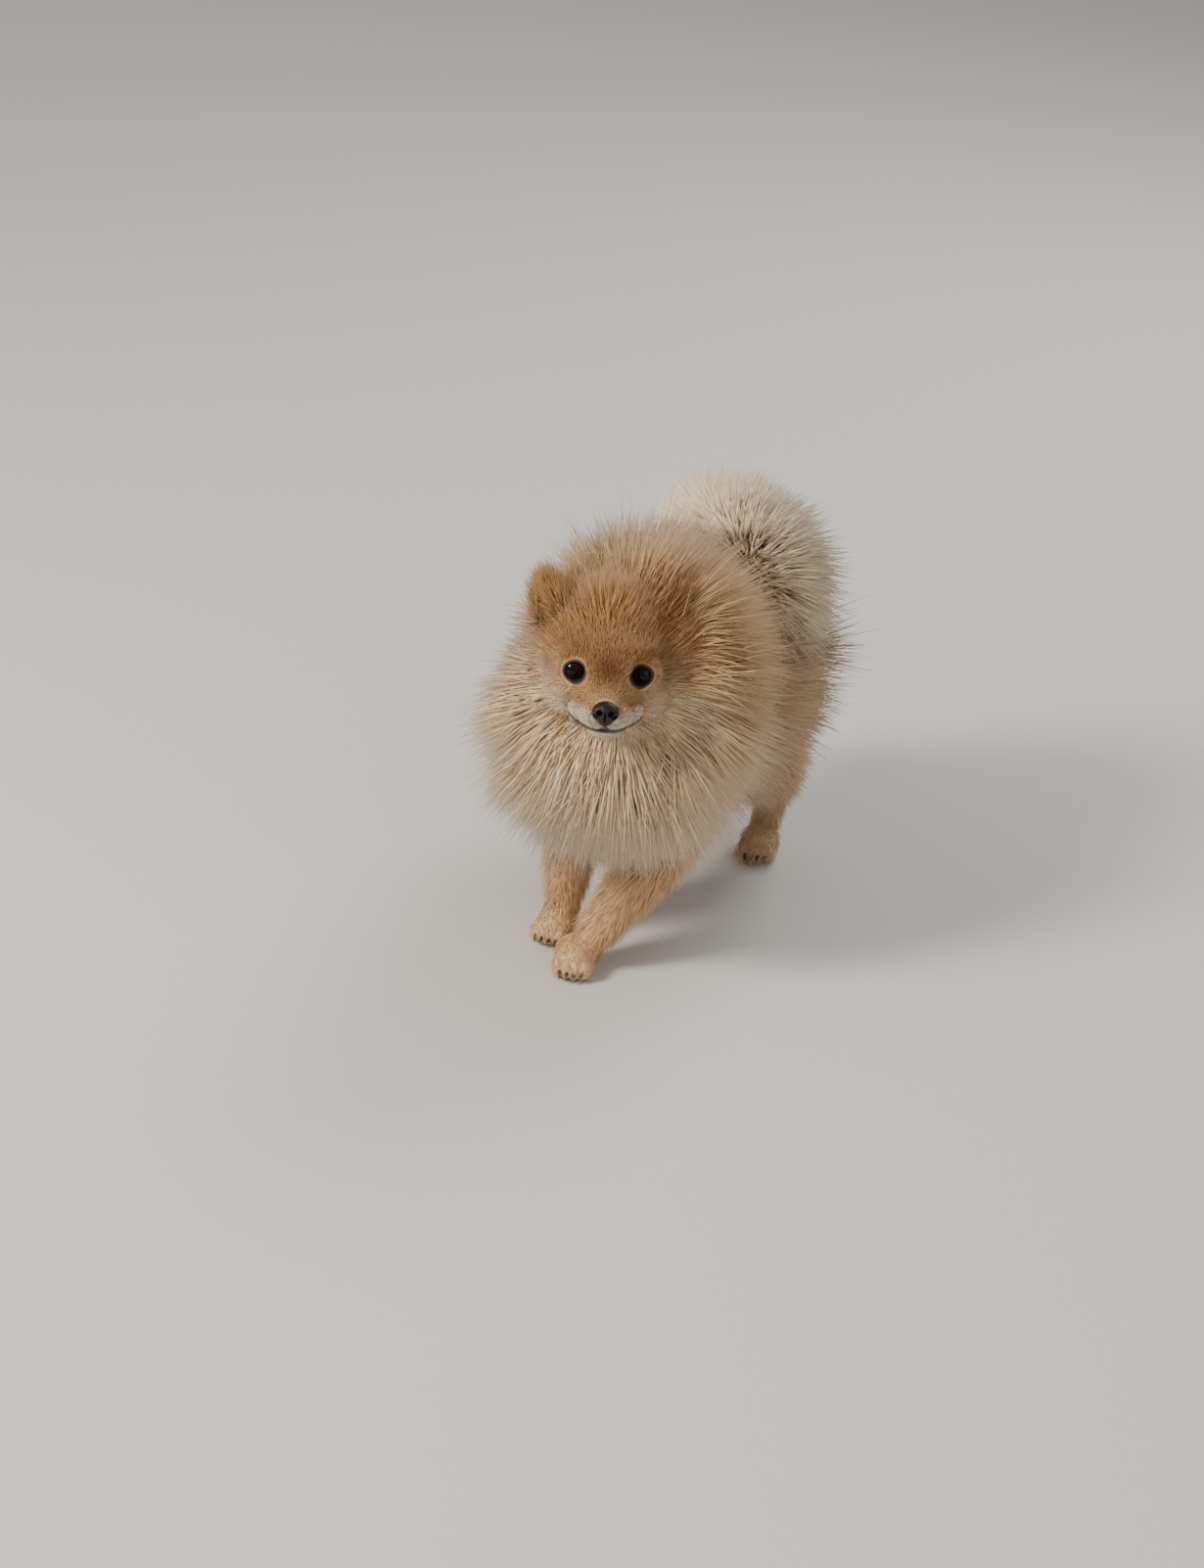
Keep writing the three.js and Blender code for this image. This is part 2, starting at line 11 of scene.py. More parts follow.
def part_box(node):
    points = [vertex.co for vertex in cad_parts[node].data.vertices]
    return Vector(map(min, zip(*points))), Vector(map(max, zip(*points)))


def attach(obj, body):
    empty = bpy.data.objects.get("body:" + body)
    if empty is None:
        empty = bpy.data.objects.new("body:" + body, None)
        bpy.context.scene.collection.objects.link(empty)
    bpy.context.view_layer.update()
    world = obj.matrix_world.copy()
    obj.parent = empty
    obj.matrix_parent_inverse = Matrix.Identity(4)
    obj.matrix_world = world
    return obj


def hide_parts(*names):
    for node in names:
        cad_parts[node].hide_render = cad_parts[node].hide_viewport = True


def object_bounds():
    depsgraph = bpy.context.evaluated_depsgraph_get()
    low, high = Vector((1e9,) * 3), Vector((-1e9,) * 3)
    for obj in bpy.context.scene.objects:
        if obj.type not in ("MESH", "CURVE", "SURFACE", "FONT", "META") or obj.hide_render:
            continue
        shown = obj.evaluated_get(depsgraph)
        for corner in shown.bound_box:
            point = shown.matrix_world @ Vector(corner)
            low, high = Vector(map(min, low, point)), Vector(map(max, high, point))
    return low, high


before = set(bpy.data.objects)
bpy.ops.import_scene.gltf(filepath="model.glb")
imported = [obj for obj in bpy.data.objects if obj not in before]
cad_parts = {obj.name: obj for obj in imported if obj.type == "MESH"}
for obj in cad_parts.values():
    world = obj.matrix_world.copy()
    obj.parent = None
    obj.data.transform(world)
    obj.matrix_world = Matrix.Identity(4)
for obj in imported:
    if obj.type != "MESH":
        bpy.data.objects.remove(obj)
cad_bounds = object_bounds()

# The camera, the pale floor and the studio light. The photograph looks down on the dog from its front
# and a little from its left, and is 1230 by 1602 pixels. The floor is one plain, pale sheet.
MM = 0.001
PHOTO_WIDE, PHOTO_HIGH = 1230, 1602
EYES_IN_PHOTO = (621.5, 685.5)
FOCAL_PIXELS = 3150
CAMERA_AROUND = math.radians(17)
CAMERA_DOWN = math.radians(24.5)
CAMERA_ROLL = math.radians(4)
CAMERA_AWAY = 1.64
SENSOR = 36.0
LIGHTS_AIM = (0, 0, 0.12)  # the middle of the dog

eye_boxes = [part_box("eye_left"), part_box("eye_right")]
eye_centres = [(low + high) / 2 for low, high in eye_boxes]
EYE_RADIUS = (eye_boxes[0][1].z - eye_boxes[0][0].z) / 2
between_eyes = (eye_centres[0] + eye_centres[1]) / 2

ahead = Vector((-math.sin(CAMERA_AROUND), math.cos(CAMERA_AROUND), 0))
looking = (ahead * math.cos(CAMERA_DOWN) - Vector((0, 0, math.sin(CAMERA_DOWN)))).normalized()
level_right = Vector((math.cos(CAMERA_AROUND), math.sin(CAMERA_AROUND), 0))
level_up = level_right.cross(looking)
camera_right = level_right * math.cos(CAMERA_ROLL) + level_up * math.sin(CAMERA_ROLL)
camera_up = level_up * math.cos(CAMERA_ROLL) - level_right * math.sin(CAMERA_ROLL)
ray = (
    looking
    + camera_right * ((EYES_IN_PHOTO[0] - PHOTO_WIDE / 2) / FOCAL_PIXELS)
    + camera_up * ((PHOTO_HIGH / 2 - EYES_IN_PHOTO[1]) / FOCAL_PIXELS)
)
camera_data = bpy.data.cameras.new("camera")
camera_data.sensor_fit = "VERTICAL"
camera_data.sensor_height = SENSOR
camera_data.lens = SENSOR * FOCAL_PIXELS / PHOTO_HIGH
camera = bpy.data.objects.new("camera", camera_data)
camera_turn = Matrix((camera_right, camera_up, -looking)).transposed().to_4x4()
camera.matrix_world = Matrix.Translation(between_eyes - ray * CAMERA_AWAY) @ camera_turn
bpy.context.scene.collection.objects.link(camera)
bpy.context.scene.camera = camera


def area_light(name, place, size, watts, colour):
    data = bpy.data.lights.new(name, "AREA")
    data.shape = "DISK"
    data.size = size
    data.energy = watts
    data.color = colour
    lamp = bpy.data.objects.new(name, data)
    lamp.location = place
    lamp.rotation_euler = (Vector(LIGHTS_AIM) - Vector(place)).to_track_quat("-Z", "Y").to_euler()
    bpy.context.scene.collection.objects.link(lamp)


area_light("key_light", (-1.4, -1.5, 1.6), 0.75, 62, (1.0, 0.94, 0.85))
area_light("fill_light", (1.7, -1.2, 1.1), 1.6, 6, (0.96, 0.97, 1.0))
area_light("rim_light", (0.5, 1.7, 1.6), 1.2, 20, (1.0, 0.97, 0.93))
world = bpy.data.worlds.new("studio")
world.use_nodes = True
world.node_tree.nodes["Background"].inputs["Color"].default_value = (0.9, 0.88, 0.86, 1)
world.node_tree.nodes["Background"].inputs["Strength"].default_value = 0.45
bpy.context.scene.world = world

FLOOR_REACH = 6.0
floor_mesh = bpy.data.meshes.new("floor")
corners = [(x * FLOOR_REACH, y * FLOOR_REACH, 0) for x, y in ((-1, -1), (1, -1), (1, 1), (-1, 1))]
floor_mesh.from_pydata(corners, [], [(0, 1, 2, 3)])
floor = bpy.data.objects.new("floor", floor_mesh)
bpy.context.scene.collection.objects.link(floor)
floor_finish = bpy.data.materials.new("pale_floor")
floor_finish.use_nodes = True
floor_shader = floor_finish.node_tree.nodes["Principled BSDF"]
floor_shader.inputs["Base Color"].default_value = (0.74, 0.73, 0.71, 1)
floor_shader.inputs["Roughness"].default_value = 0.75
floor_mesh.materials.append(floor_finish)

# The body under the coat: trunk, neck, skull, tail and legs. The real one is muscle and bone under a
# thin hide. Each is a row of elliptical sections, and they melt into one closed skin.
HEAD_YAW = math.radians(17)
HEAD_PITCH = math.radians(12)
EYES_BEHIND = 3.6 * MM  # the eye centres lie this far behind the head's own origin
BETWEEN_EYES = np.array([5, -124, 190]) * MM  # in the makers' own coordinates
EYE_GAP = 36

turn_head = np.array((Matrix.Rotation(HEAD_YAW, 3, "Z") @ Matrix.Rotation(-HEAD_PITCH, 3, "X")))
head_origin = np.array(between_eyes) - turn_head @ np.array([0, EYES_BEHIND, 0])
shift = head_origin - BETWEEN_EYES
IN_HEAD = (head_origin, turn_head)
IN_BODY = (shift, np.eye(3))
ON_ITS_OWN = (np.zeros(3), np.eye(3))


def head_to_world(p):
    return np.asarray(p, float) @ turn_head.T + head_origin


def world_to_head(p):
    return (np.asarray(p, float) - head_origin) @ turn_head


def unit(v):
    return v / np.maximum(np.linalg.norm(v, axis=-1, keepdims=True), 1e-12)


def catmull_rom(rows, t):
    last = len(rows) - 1
    x = t * last
    i = np.minimum(x.astype(int), last - 1)
    f = (x - i)[:, None]
    before, start, stop, after = (rows[np.clip(i + k, 0, last)] for k in (-1, 0, 1, 2))
    return 0.5 * (
        2 * start
        + (stop - before) * f
        + (2 * before - 5 * start + 4 * stop - after) * f**2
        + (3 * start - before - 3 * stop + after) * f**3
    )


class Form:
    """A body part as stations along its length, in millimetres: the centre, the skin's half width and
    half height, and the coat's depth at the sides, on top and underneath."""

    SLIMMEST = 4 * MM  # a thinner section counts as this thick when the nearest one is sought

    def __init__(self, name, stations, reference=(0, 0, 1), in_head=False, roundness=0.6):
        t = np.linspace(0, 1, 33)
        smooth = catmull_rom(np.array(stations, float) * MM, t)
        self.name, self.t = name, t
        self.centre = head_to_world(smooth[:, :3]) if in_head else smooth[:, :3] + shift
        ending = np.maximum(np.sin(math.pi * t), 0) ** roundness
        self.wide, self.high = smooth[:, 3] * ending, smooth[:, 4] * ending
        self.coat = smooth[:, 5:8]
        self.along = unit(np.gradient(self.centre, axis=0))
        self.side = unit(np.cross(np.array(reference, float), self.along))
        self.up = np.cross(self.along, self.side)

    def nearest(self, points):
        """The nearest section to each point, and where the point lies in it."""
        gap = ((points[:, None, :] - self.centre[None]) ** 2).sum(-1)
        gap = gap / (np.maximum(np.minimum(self.wide, self.high), self.SLIMMEST) ** 2)
        i = gap.argmin(1)
        q = points - self.centre[i]
        return i, (q * self.side[i]).sum(-1), (q * self.up[i]).sum(-1), (q * self.along[i]).sum(-1)

    def coat_at(self, i, angle):
        s = np.sin(angle)
        depth = np.where(s > 0, self.coat[i, 1], self.coat[i, 2])
        return self.coat[i, 0] + (depth - self.coat[i, 0]) * s * s


TORSO = Form("torso", [
    (0, -94, 112, 30, 36, 36, 32, 30),
    (0, -60, 124, 42, 50, 40, 46, 26),
    (0, -18, 130, 44, 49, 44, 40, 20),
    (0, 30, 132, 42, 42, 50, 30, 24),
    (0, 74, 130, 44, 42, 56, 26, 34),
    (0, 116, 124, 40, 38, 30, 22, 28),
])
NECK = Form("neck", [
    (0, -30, 128, 36, 42, 40, 40, 44),
    (1, -60, 152, 38, 44, 42, 48, 50),
    (3, -88, 178, 33, 36, 44, 52, 50),
    (6, -115, 196, 26, 28, 34, 44, 34),
], reference=(0, 0.7071, 0.7071))
SKULL = Form("skull", [
    (0, -26, -17, 8.5, 7.5, 1, 1, 1),
    (0, -13, -14, 12, 10, 2, 2, 2),
    (0, -1, -7, 19, 15, 4, 4, 4),
    (0, 15, 0, 28, 25, 14, 16, 10),
    (0, 38, 3, 32, 29, 28, 34, 22),
    (0, 64, -2, 28, 27, 26, 40, 22),
], in_head=True, roundness=0.35, reference=turn_head @ np.array([0, 0, 1.0]))
TAIL = Form("tail", [
    (0, 84, 152, 11, 11, 18, 18, 14),
    (2, 99, 171, 9, 9, 34, 36, 20),
    (10, 90, 191, 7, 7, 44, 36, 22),
    (24, 65, 198, 6, 6, 48, 36, 24),
    (38, 42, 190, 5, 5, 46, 34, 26),
    (50, 24, 174, 3, 3, 38, 32, 24),
], reference=(0.282, 0.188, 0.941), roundness=0.4)

# Each leg's sections from the trunk down, the middle of its paw and the paw's turn.
LEG_ROWS = {
    "foreleg_left": ([
        (30, -60, 112, 20, 26, 8, 8, 10), (29, -60, 80, 17, 19, 8, 7, 12),
        (18, -78, 52, 12, 13, 7, 6, 11), (3, -93, 26, 10, 10.5, 5, 4, 6),
        (-6, -101, 4, 10, 10, 3, 3, 3)], (-8, -106), 0.16),
    "foreleg_right": ([
        (-30, -58, 112, 20, 26, 8, 8, 10), (-33, -48, 80, 16, 18, 8, 7, 12),
        (-32, -54, 52, 11, 12, 6, 5, 11), (-31, -62, 26, 9.5, 10, 4, 4, 6),
        (-31, -67, 4, 9.5, 9.5, 3, 3, 3)], (-31, -72), -0.06),
    "hindleg_left": ([
        (34, 72, 120, 24, 36, 22, 14, 24), (41, 64, 86, 20, 28, 16, 10, 18),
        (45, 84, 56, 13, 16, 9, 7, 13), (45, 100, 34, 9, 10, 5, 4, 7),
        (45, 92, 5, 9, 9.5, 4, 4, 4)], (45, 85), 0.1),
    "hindleg_right": ([
        (-34, 66, 120, 24, 36, 22, 14, 24), (-41, 44, 86, 20, 28, 16, 10, 18),
        (-42, 54, 56, 13, 16, 9, 7, 13), (-40, 64, 34, 9, 10, 5, 4, 7),
        (-39, 55, 5, 9, 9.5, 4, 4, 4)], (-39, 48), -0.1),
}
LEGS = {name: Form(name, rows, (0, -1, 0), roundness=0.3) for name, (rows, _, _) in LEG_ROWS.items()}
FORMS = [TORSO, NECK, SKULL, TAIL, *LEGS.values()]


def axis_steps(low, high, fine_low, fine_high, fine, coarse):
    """Grid lines that are fine between two marks and coarse outside them."""
    before = np.linspace(low, fine_low, max(int((fine_low - low) / coarse), 2), endpoint=False)
    middle = np.linspace(fine_low, fine_high, int((fine_high - fine_low) / fine), endpoint=False)
    after = np.linspace(fine_high, high, max(int((high - fine_high) / coarse), 2))
    return np.concatenate([before, middle, after])


def melt(old, new, blend):
    """A smooth union of two distances."""
    h = np.clip(0.5 + 0.5 * (old - new) / blend, 0, 1)
    return old * (1 - h) + new * h - blend * h * (1 - h)


class Clay:
    """A block of distances to a surface that is modelled by adding and carving, in metres."""

    FAR = 30 * MM
    MARGIN = 9 * MM
    JOINT_BLEND = 2 * MM  # between the tubes of one form

    def __init__(self, axes):
        self.axes = axes
        self.field = np.full([len(a) for a in axes], self.FAR, np.float32)

    def block(self, low, high):
        """The part of the grid between two corners, with its coordinates ready to broadcast."""
        cut = [slice(*np.searchsorted(self.axes[i], (low[i], high[i]))) for i in range(3)]
        x, y, z = (self.axes[i][cut[i]].astype(np.float32) for i in range(3))
        return tuple(cut), (x[:, None, None], y[None, :, None], z[None, None, :])

    def add_form(self, form, blend):
        """A form joins as elliptical tubes between its sections."""
        picks = list(range(1, len(form.t), 2))
        for a, b in zip(picks[:-1], picks[1:]):
            ends = form.centre[[a, b]]
            reach = max(form.wide[[a, b]].max(), form.high[[a, b]].max()) + self.MARGIN
            cut, (x, y, z) = self.block(ends.min(0) - reach, ends.max(0) + reach)
            line = ends[1] - ends[0]
            px, py, pz = x - ends[0][0], y - ends[0][1], z - ends[0][2]
            h = np.clip((px * line[0] + py * line[1] + pz * line[2]) / (line @ line), 0, 1)
            q = [px - h * line[0], py - h * line[1], pz - h * line[2]]
            wide = form.wide[a] + h * (form.wide[b] - form.wide[a])
            high = form.high[a] + h * (form.high[b] - form.high[a])
            slim = np.minimum(wide, high)
            parts = [
                sum(q[i] * direction[a][i] for i in range(3)) / size
                for direction, size in ((form.side, wide), (form.up, high), (form.along, slim))
            ]
            gap = (np.sqrt(sum(part**2 for part in parts)) - 1) * slim
            soft = blend if a == picks[0] else min(blend, self.JOINT_BLEND)
            self.field[cut] = melt(self.field[cut], gap, soft)

    def ball_gap(self, centre, radii, turn, place):
        """The distance to an ellipsoid, given in millimetres in the head, in the body or on its own."""
        origin, basis = place
        where = origin + basis @ (np.array(centre, float) * MM)
        radii = np.array(radii, float) * MM
        for angle, axis in zip(turn, "XYZ"):
            basis = basis @ np.array(Matrix.Rotation(angle, 3, axis))
        reach = radii.max() + self.MARGIN
        cut, (x, y, z) = self.block(where - reach, where + reach)
        px, py, pz = x - where[0], y - where[1], z - where[2]
        q = [(px * basis[0, i] + py * basis[1, i] + pz * basis[2, i]) / radii[i] for i in range(3)]
        return cut, (np.sqrt(q[0] ** 2 + q[1] ** 2 + q[2] ** 2) - 1) * radii.min()

    def add(self, centre, radii, blend, turn=(), place=IN_HEAD):
        cut, gap = self.ball_gap(centre, radii, turn, place)
        self.field[cut] = melt(self.field[cut], gap, blend * MM)

    def carve(self, centre, radii, blend, turn=(), place=IN_HEAD):
        cut, gap = self.ball_gap(centre, radii, turn, place)
        self.field[cut] = -melt(-self.field[cut], gap, blend * MM)

    def surface(self):
        grid = openvdb.FloatGrid(float(self.FAR))
        grid.copyFromArray(self.field)
        places, quads = grid.convertToQuads(isovalue=0.0)
        lines = [np.interp(places[:, i], np.arange(len(a)), a) for i, a in enumerate(self.axes)]
        return outwards(np.stack(lines, -1), np.asarray(quads, np.int64))


def outwards(points, faces):
    """The faces turned so that they look out of the closed surface."""
    a, b, c = points[faces[:, 0]], points[faces[:, 1]], points[faces[:, 2]]
    total = (a * np.cross(b, c)).sum()
    if faces.shape[1] == 4:
        total += (a * np.cross(c, points[faces[:, 3]])).sum()
    return points, faces[:, ::-1].copy() if total < 0 else faces


FINE, COARSE = 0.7 * MM, 2.3 * MM
face_low = head_origin + np.array([-33, -38, -38]) * MM
face_high = head_origin + np.array([38, 20, 16]) * MM
body_low = np.array([-75, -170, -8]) * MM
body_high = np.array([75, 160, 232]) * MM
clay = Clay([
    axis_steps(body_low[i], body_high[i], face_low[i], face_high[i], FINE, COARSE) for i in range(3)
])
clay.add_form(TORSO, 10 * MM)
clay.add_form(NECK, 12 * MM)
clay.add_form(SKULL, 8 * MM)
clay.add_form(TAIL, 6 * MM)
for leg in LEGS.values():
    clay.add_form(leg, 9 * MM)

# The paws: a rounded foot with four toes, flat where the pads stand on the floor.
PAW = (11, 14.5, 9.5)
TOES = 4
TOE = (3.9, 6.8, 5.7)
toe_tips = []
for rows, (paw_x, paw_y), paw_turn in LEG_ROWS.values():
    clay.add((paw_x, paw_y, 8.8), PAW, 4, (0, 0, paw_turn), IN_BODY)
    for k in range(TOES):
        spread = (k - (TOES - 1) / 2) / TOES
        reach = Vector((spread * 20, -11.5 + 9 * spread * spread, 0))
        reach.rotate(Matrix.Rotation(paw_turn, 3, "Z"))
        toe = (paw_x + reach.x, paw_y + reach.y, 5.9)
        toe_turn = paw_turn - spread * 0.5
        clay.add(toe, TOE, 0.9, (0, 0, toe_turn), IN_BODY)
        toe_tips.append((np.array(toe), toe_turn))
SOLE = 0.1 * MM
clay.field = np.maximum(clay.field, (SOLE - clay.axes[2])[None, None, :].astype(np.float32))

# The face: cheeks and brows of muscle, the short muzzle with its two soft lips, and the chin. Then the
# line of the mouth is cut between the lips, and an almond for each eye is left open between the lids.
for side in (-1, 1):
    clay.add((side * 16, 14, -13), (13, 16, 13), 4)
    clay.add((side * 13, 5, 8.5), (8.5, 7, 5.5), 3.5, (0, side * -0.3, 0))
    clay.add((side * 6, -15.5, -20.4), (6.9, 10.5, 7), 1.6, (0, 0, side * 0.3))
    clay.add((side * 12.3, -7, -20.6), (6.6, 10, 6.2), 2.5, (0, 0, side * 0.45))
clay.add((0, -15, -13.5), (6.4, 13, 5.2), 2.6, (0.16, 0, 0))
clay.add((0, -9.5, -28.4), (8.5, 11, 4.2), 1.2, (0.05, 0, 0))
clay.add((0, 4, -26), (14, 13, 7), 5)

HALF_MOUTH = [
    (0, -22.4, -26), (4.5, -22.2, -27), (9.3, -19.6, -26.8),
    (13.6, -14, -26.2), (17.4, -7.5, -25), (19.2, -0.5, -22),
]
MOUTH_CUT = (1.6, 2.2, 0.9)
mouth_path = np.array([(-x, y, z) for x, y, z in HALF_MOUTH[:0:-1]] + HALF_MOUTH, float)
mouth_path = catmull_rom(mouth_path, np.linspace(0, 1, 33))
for place in mouth_path:
    clay.carve(place, MOUTH_CUT, 0.4)

EYE = EYE_RADIUS / MM
LID = 1.2
SOCKET_ROOM = 0.15
LIDS_OPEN = (5.9, 8.2, 5.2)
LIDS_FORWARD = EYE + 3  # the opening's middle, in front of the middle of the eye
LIDS_INWARDS = 0.3  # the opening lies this far towards the nose from the middle of the eye
for side in (-1, 1):
    eye_at = (side * EYE_GAP / 2, EYES_BEHIND / MM, 0)
    clay.add(eye_at, (EYE + LID + 0.6, EYE + LID, EYE + LID), 2.2)
    clay.carve(eye_at, (EYE + SOCKET_ROOM,) * 3, 0.15)
    clay.carve((eye_at[0] - side * LIDS_INWARDS, eye_at[1] - LIDS_FORWARD, 0.1), LIDS_OPEN, 0.3)
body_points, body_quads = clay.surface()

# The ears: small pricked cups of gristle and thin hide, open forwards and outwards, nearly sunk in the
# coat of the head. Their bases are rooted in the skull, in the same skin.
EAR_HEIGHT = 17
EAR_RADIUS = 10
EAR_WALL = 1.5
EAR_OPEN = math.radians(118)  # the cup's edge, from its back
EAR_UP, EAR_ROUND = 15, 13


def ear_cup(side):
    """The closed shell of one ear, from rings that run round its back and return inside it."""
    lean = np.array([side * 0.42, 0.16, 0.9])
    lean /= np.linalg.norm(lean)
    back = np.array([-side * 0.42, 0.9, 0.05])
    back = back - lean * (back @ lean)
    back /= np.linalg.norm(back)
    across = np.cross(back, lean)
    base = np.array([side * 29, 34, 21.0])
    rings = []
    for u in np.linspace(0, 1, EAR_UP):
        radius = EAR_RADIUS * (1 - u) ** 0.72 * (0.82 + 0.5 * u) + 0.7
        inner = max(radius - EAR_WALL, 0.25)
        middle = base + lean * (EAR_HEIGHT * u) + back * (3.0 * u * u)
        angles = np.linspace(-EAR_OPEN, EAR_OPEN, EAR_ROUND)
        for r, turn in ((radius, angles), (inner, angles[::-1])):
            c, s = np.cos(turn)[:, None], np.sin(turn)[:, None]
            rings.append(middle + r * (across * s + back * c * 0.72) - back * (0.35 * radius))
    points = np.concatenate(rings)
    around = 2 * EAR_ROUND
    first = np.arange(around)
    quads = [
        np.stack([k * around + first, k * around + np.roll(first, -1),
                  (k + 1) * around + np.roll(first, -1), (k + 1) * around + first], -1)
        for k in range(EAR_UP - 1)
    ]
    for start in (0, (EAR_UP - 1) * around):
        out, back_in = start + np.arange(EAR_ROUND), start + around - 1 - np.arange(EAR_ROUND)
        cap = np.stack([out[1:], out[:-1], back_in[:-1], back_in[1:]], -1)
        quads.append(cap if start == 0 else cap[:, ::-1])
    return outwards(head_to_world(points * MM), np.concatenate(quads))


skin_points, skin_quads = body_points, body_quads
for side in (-1, 1):
    points, quads = ear_cup(side)
    skin_quads = np.concatenate([skin_quads, quads + len(skin_points)])
    skin_points = np.concatenate([skin_points, points])
EAR_POINTS = EAR_UP * EAR_ROUND * 2
ear_of = np.zeros(len(skin_points))
ear_of[-EAR_POINTS:] = 1
ear_of[-2 * EAR_POINTS:-EAR_POINTS] = -1


def new_mesh(name, points, faces):
    """A mesh object from arrays. All faces have the same number of corners."""
    mesh = bpy.data.meshes.new(name)
    sides = faces.shape[1]
    mesh.vertices.add(len(points))
    mesh.vertices.foreach_set("co", np.asarray(points, np.float32).ravel())
    mesh.loops.add(faces.size)
    mesh.loops.foreach_set("vertex_index", faces.ravel().astype(np.int32))
    mesh.polygons.add(len(faces))
    mesh.polygons.foreach_set("loop_start", np.arange(0, faces.size, sides, dtype=np.int32))
    mesh.update(calc_edges=True)
    mesh.polygons.foreach_set("use_smooth", np.ones(len(faces), bool))
    piece = bpy.data.objects.new(name, mesh)
    bpy.context.scene.collection.objects.link(piece)
    return piece


skin = new_mesh("skin", skin_points, skin_quads)
skin_normals = np.zeros(len(skin_points) * 3, np.float32)
skin.data.vertices.foreach_get("normal", skin_normals)
skin_normals = skin_normals.reshape(-1, 3).astype(float)

# The markings and the lie of the coat, worked out once for the skin and for the tufts on it. The dog
# is orange sable: golden head, dark stop, pale cheeks and lips, cream ruff and plume, apricot legs.
GOLD = np.array([0.50, 0.265, 0.088])
GOLD_PALE = np.array([0.60, 0.38, 0.175])
STOP_BROWN = np.array([0.20, 0.075, 0.02])
CHEEK = np.array([0.70, 0.435, 0.225])
LIP_WHITE = np.array([0.74, 0.60, 0.45])
CREAM = np.array([0.84, 0.64, 0.41])
CHEST = np.array([0.82, 0.68, 0.50])
SAND = np.array([0.54, 0.365, 0.19])
SADDLE = np.array([0.34, 0.20, 0.085])
PLUME = np.array([0.84, 0.70, 0.51])
APRICOT = np.array([0.85, 0.57, 0.31])
HIP_DARK = np.array([0.07, 0.04, 0.018])
PAINTED_EAR_SHADE = np.array([0.16, 0.08, 0.03])
PIGMENT = np.array([0.022, 0.012, 0.009])
NOSE_TIP = np.array([0, -29, -16.5])
LIPS_LOW, LIPS_HIGH, LIPS_WIDE = -31.6, -23, 19.5  # the smile of the lips, seen level from in front
LIPS_SEEN = (0.977, 0.215)  # the shares of height and depth in that view
LIP_RIM = (1.7, 0.7)  # the dark edge of the lips fades in between these distances
LID_RIM = (1.36, 1.2)  # the dark rim of the lids fades in between these shares of the opening
LIPS_BARE = 1.25
TIPS_CLEAR = 1.25  # no tuft ends nearer than this to the opening between the lids
COAT_ALONG_HEAD = ((-30, -10, 0, 7, 14, 22, 32, 46, 66), (1.2, 1.8, 2.6, 4, 8.5, 15, 22, 30, 34))
EAR_COAT = 8 * MM
LEG_LOW, LEG_HIGH = 60 * MM, 72 * MM  # below this only the legs carry coat
FOOT_LOW, FOOT_HIGH = 14 * MM, 24 * MM
MELTING = 0.12  # how gradually one form's coat gives way to the next

draws = np.random.default_rng(20)


def ramp(x, start, stop):
    x = np.clip((x - start) / (stop - start), 0, 1)
    return x * x * (3 - 2 * x)


def hill(x, middle, reach):
    return np.exp(-(((x - middle) / reach) ** 2))


def toward(colours, colour, mask):
    return colours + (colour - colours) * mask[:, None]


def waves(points, scale, seed):
    """A soft random value from -1 to 1 that varies over the given length."""
    bank = np.random.default_rng(seed)
    total = np.zeros(len(points))
    for _ in range(6):
        direction = unit(bank.normal(size=3))
        pace = bank.uniform(0.7, 1.4)
        start = bank.uniform(0, 6.28)
        total += np.sin(points @ direction * (2 * math.pi / scale) * pace + start)
    return total / 3.2


def coat_depth_of_head(p):
    """The coat on the head, in millimetres: velvet on the muzzle and round the eyes, long behind."""
    x, y, z = np.abs(p[:, 0]), p[:, 1], p[:, 2]
    back = np.interp(y, *COAT_ALONG_HEAD)
    cheek = 15 * ramp(x, 19, 33) * ramp(y, -2, 12)
    forehead = 15 * ramp(z, 11, 26) * ramp(y, -2, 12)
    throat = 12 * ramp(-z, 24, 34) * ramp(y, -6, 12)
    round_ears = 9 * hill(x, 24, 13) * ramp(z, 8, 22) * ramp(y, 6, 24)
    depth = back + cheek + forehead + throat + round_ears
    near_eye = 1.5 + 0.5 * np.maximum(eye_distance(p) - 9, 0) ** 1.15
    near_mouth = 0.15 + 0.3 * lip_distance(p)
    return np.minimum(depth, np.minimum(near_eye, near_mouth))


def eye_distance(p):
    middles = [np.array([side * EYE_GAP / 2, EYES_BEHIND / MM, 0]) for side in (-1, 1)]
    return np.minimum(*(np.linalg.norm(p - middle, axis=1) for middle in middles))


def lid_share(p):
    """One at the edge of the nearer opening between the lids, and more outside it."""
    depth = EYES_BEHIND / MM - LIDS_FORWARD
    openings = [[side * (EYE_GAP / 2 - LIDS_INWARDS), depth, 0.1] for side in (-1, 1)]
    return np.minimum(*(np.linalg.norm((p - middle) / LIDS_OPEN, axis=1) for middle in openings))


def lip_distance(p):
    """How far above or below the dark edge of the lips a place on the muzzle lies, seen from in front."""
    seen_high = LIPS_SEEN[0] * p[:, 2] + LIPS_SEEN[1] * p[:, 1]
    edge = LIPS_LOW + (LIPS_HIGH - LIPS_LOW) * (np.abs(p[:, 0]) / LIPS_WIDE) ** 2.2
    beside = np.maximum(np.abs(p[:, 0]) - LIPS_WIDE, 0) + np.maximum(p[:, 1] - 2, 0)
    return np.hypot(seen_high - edge, beside)


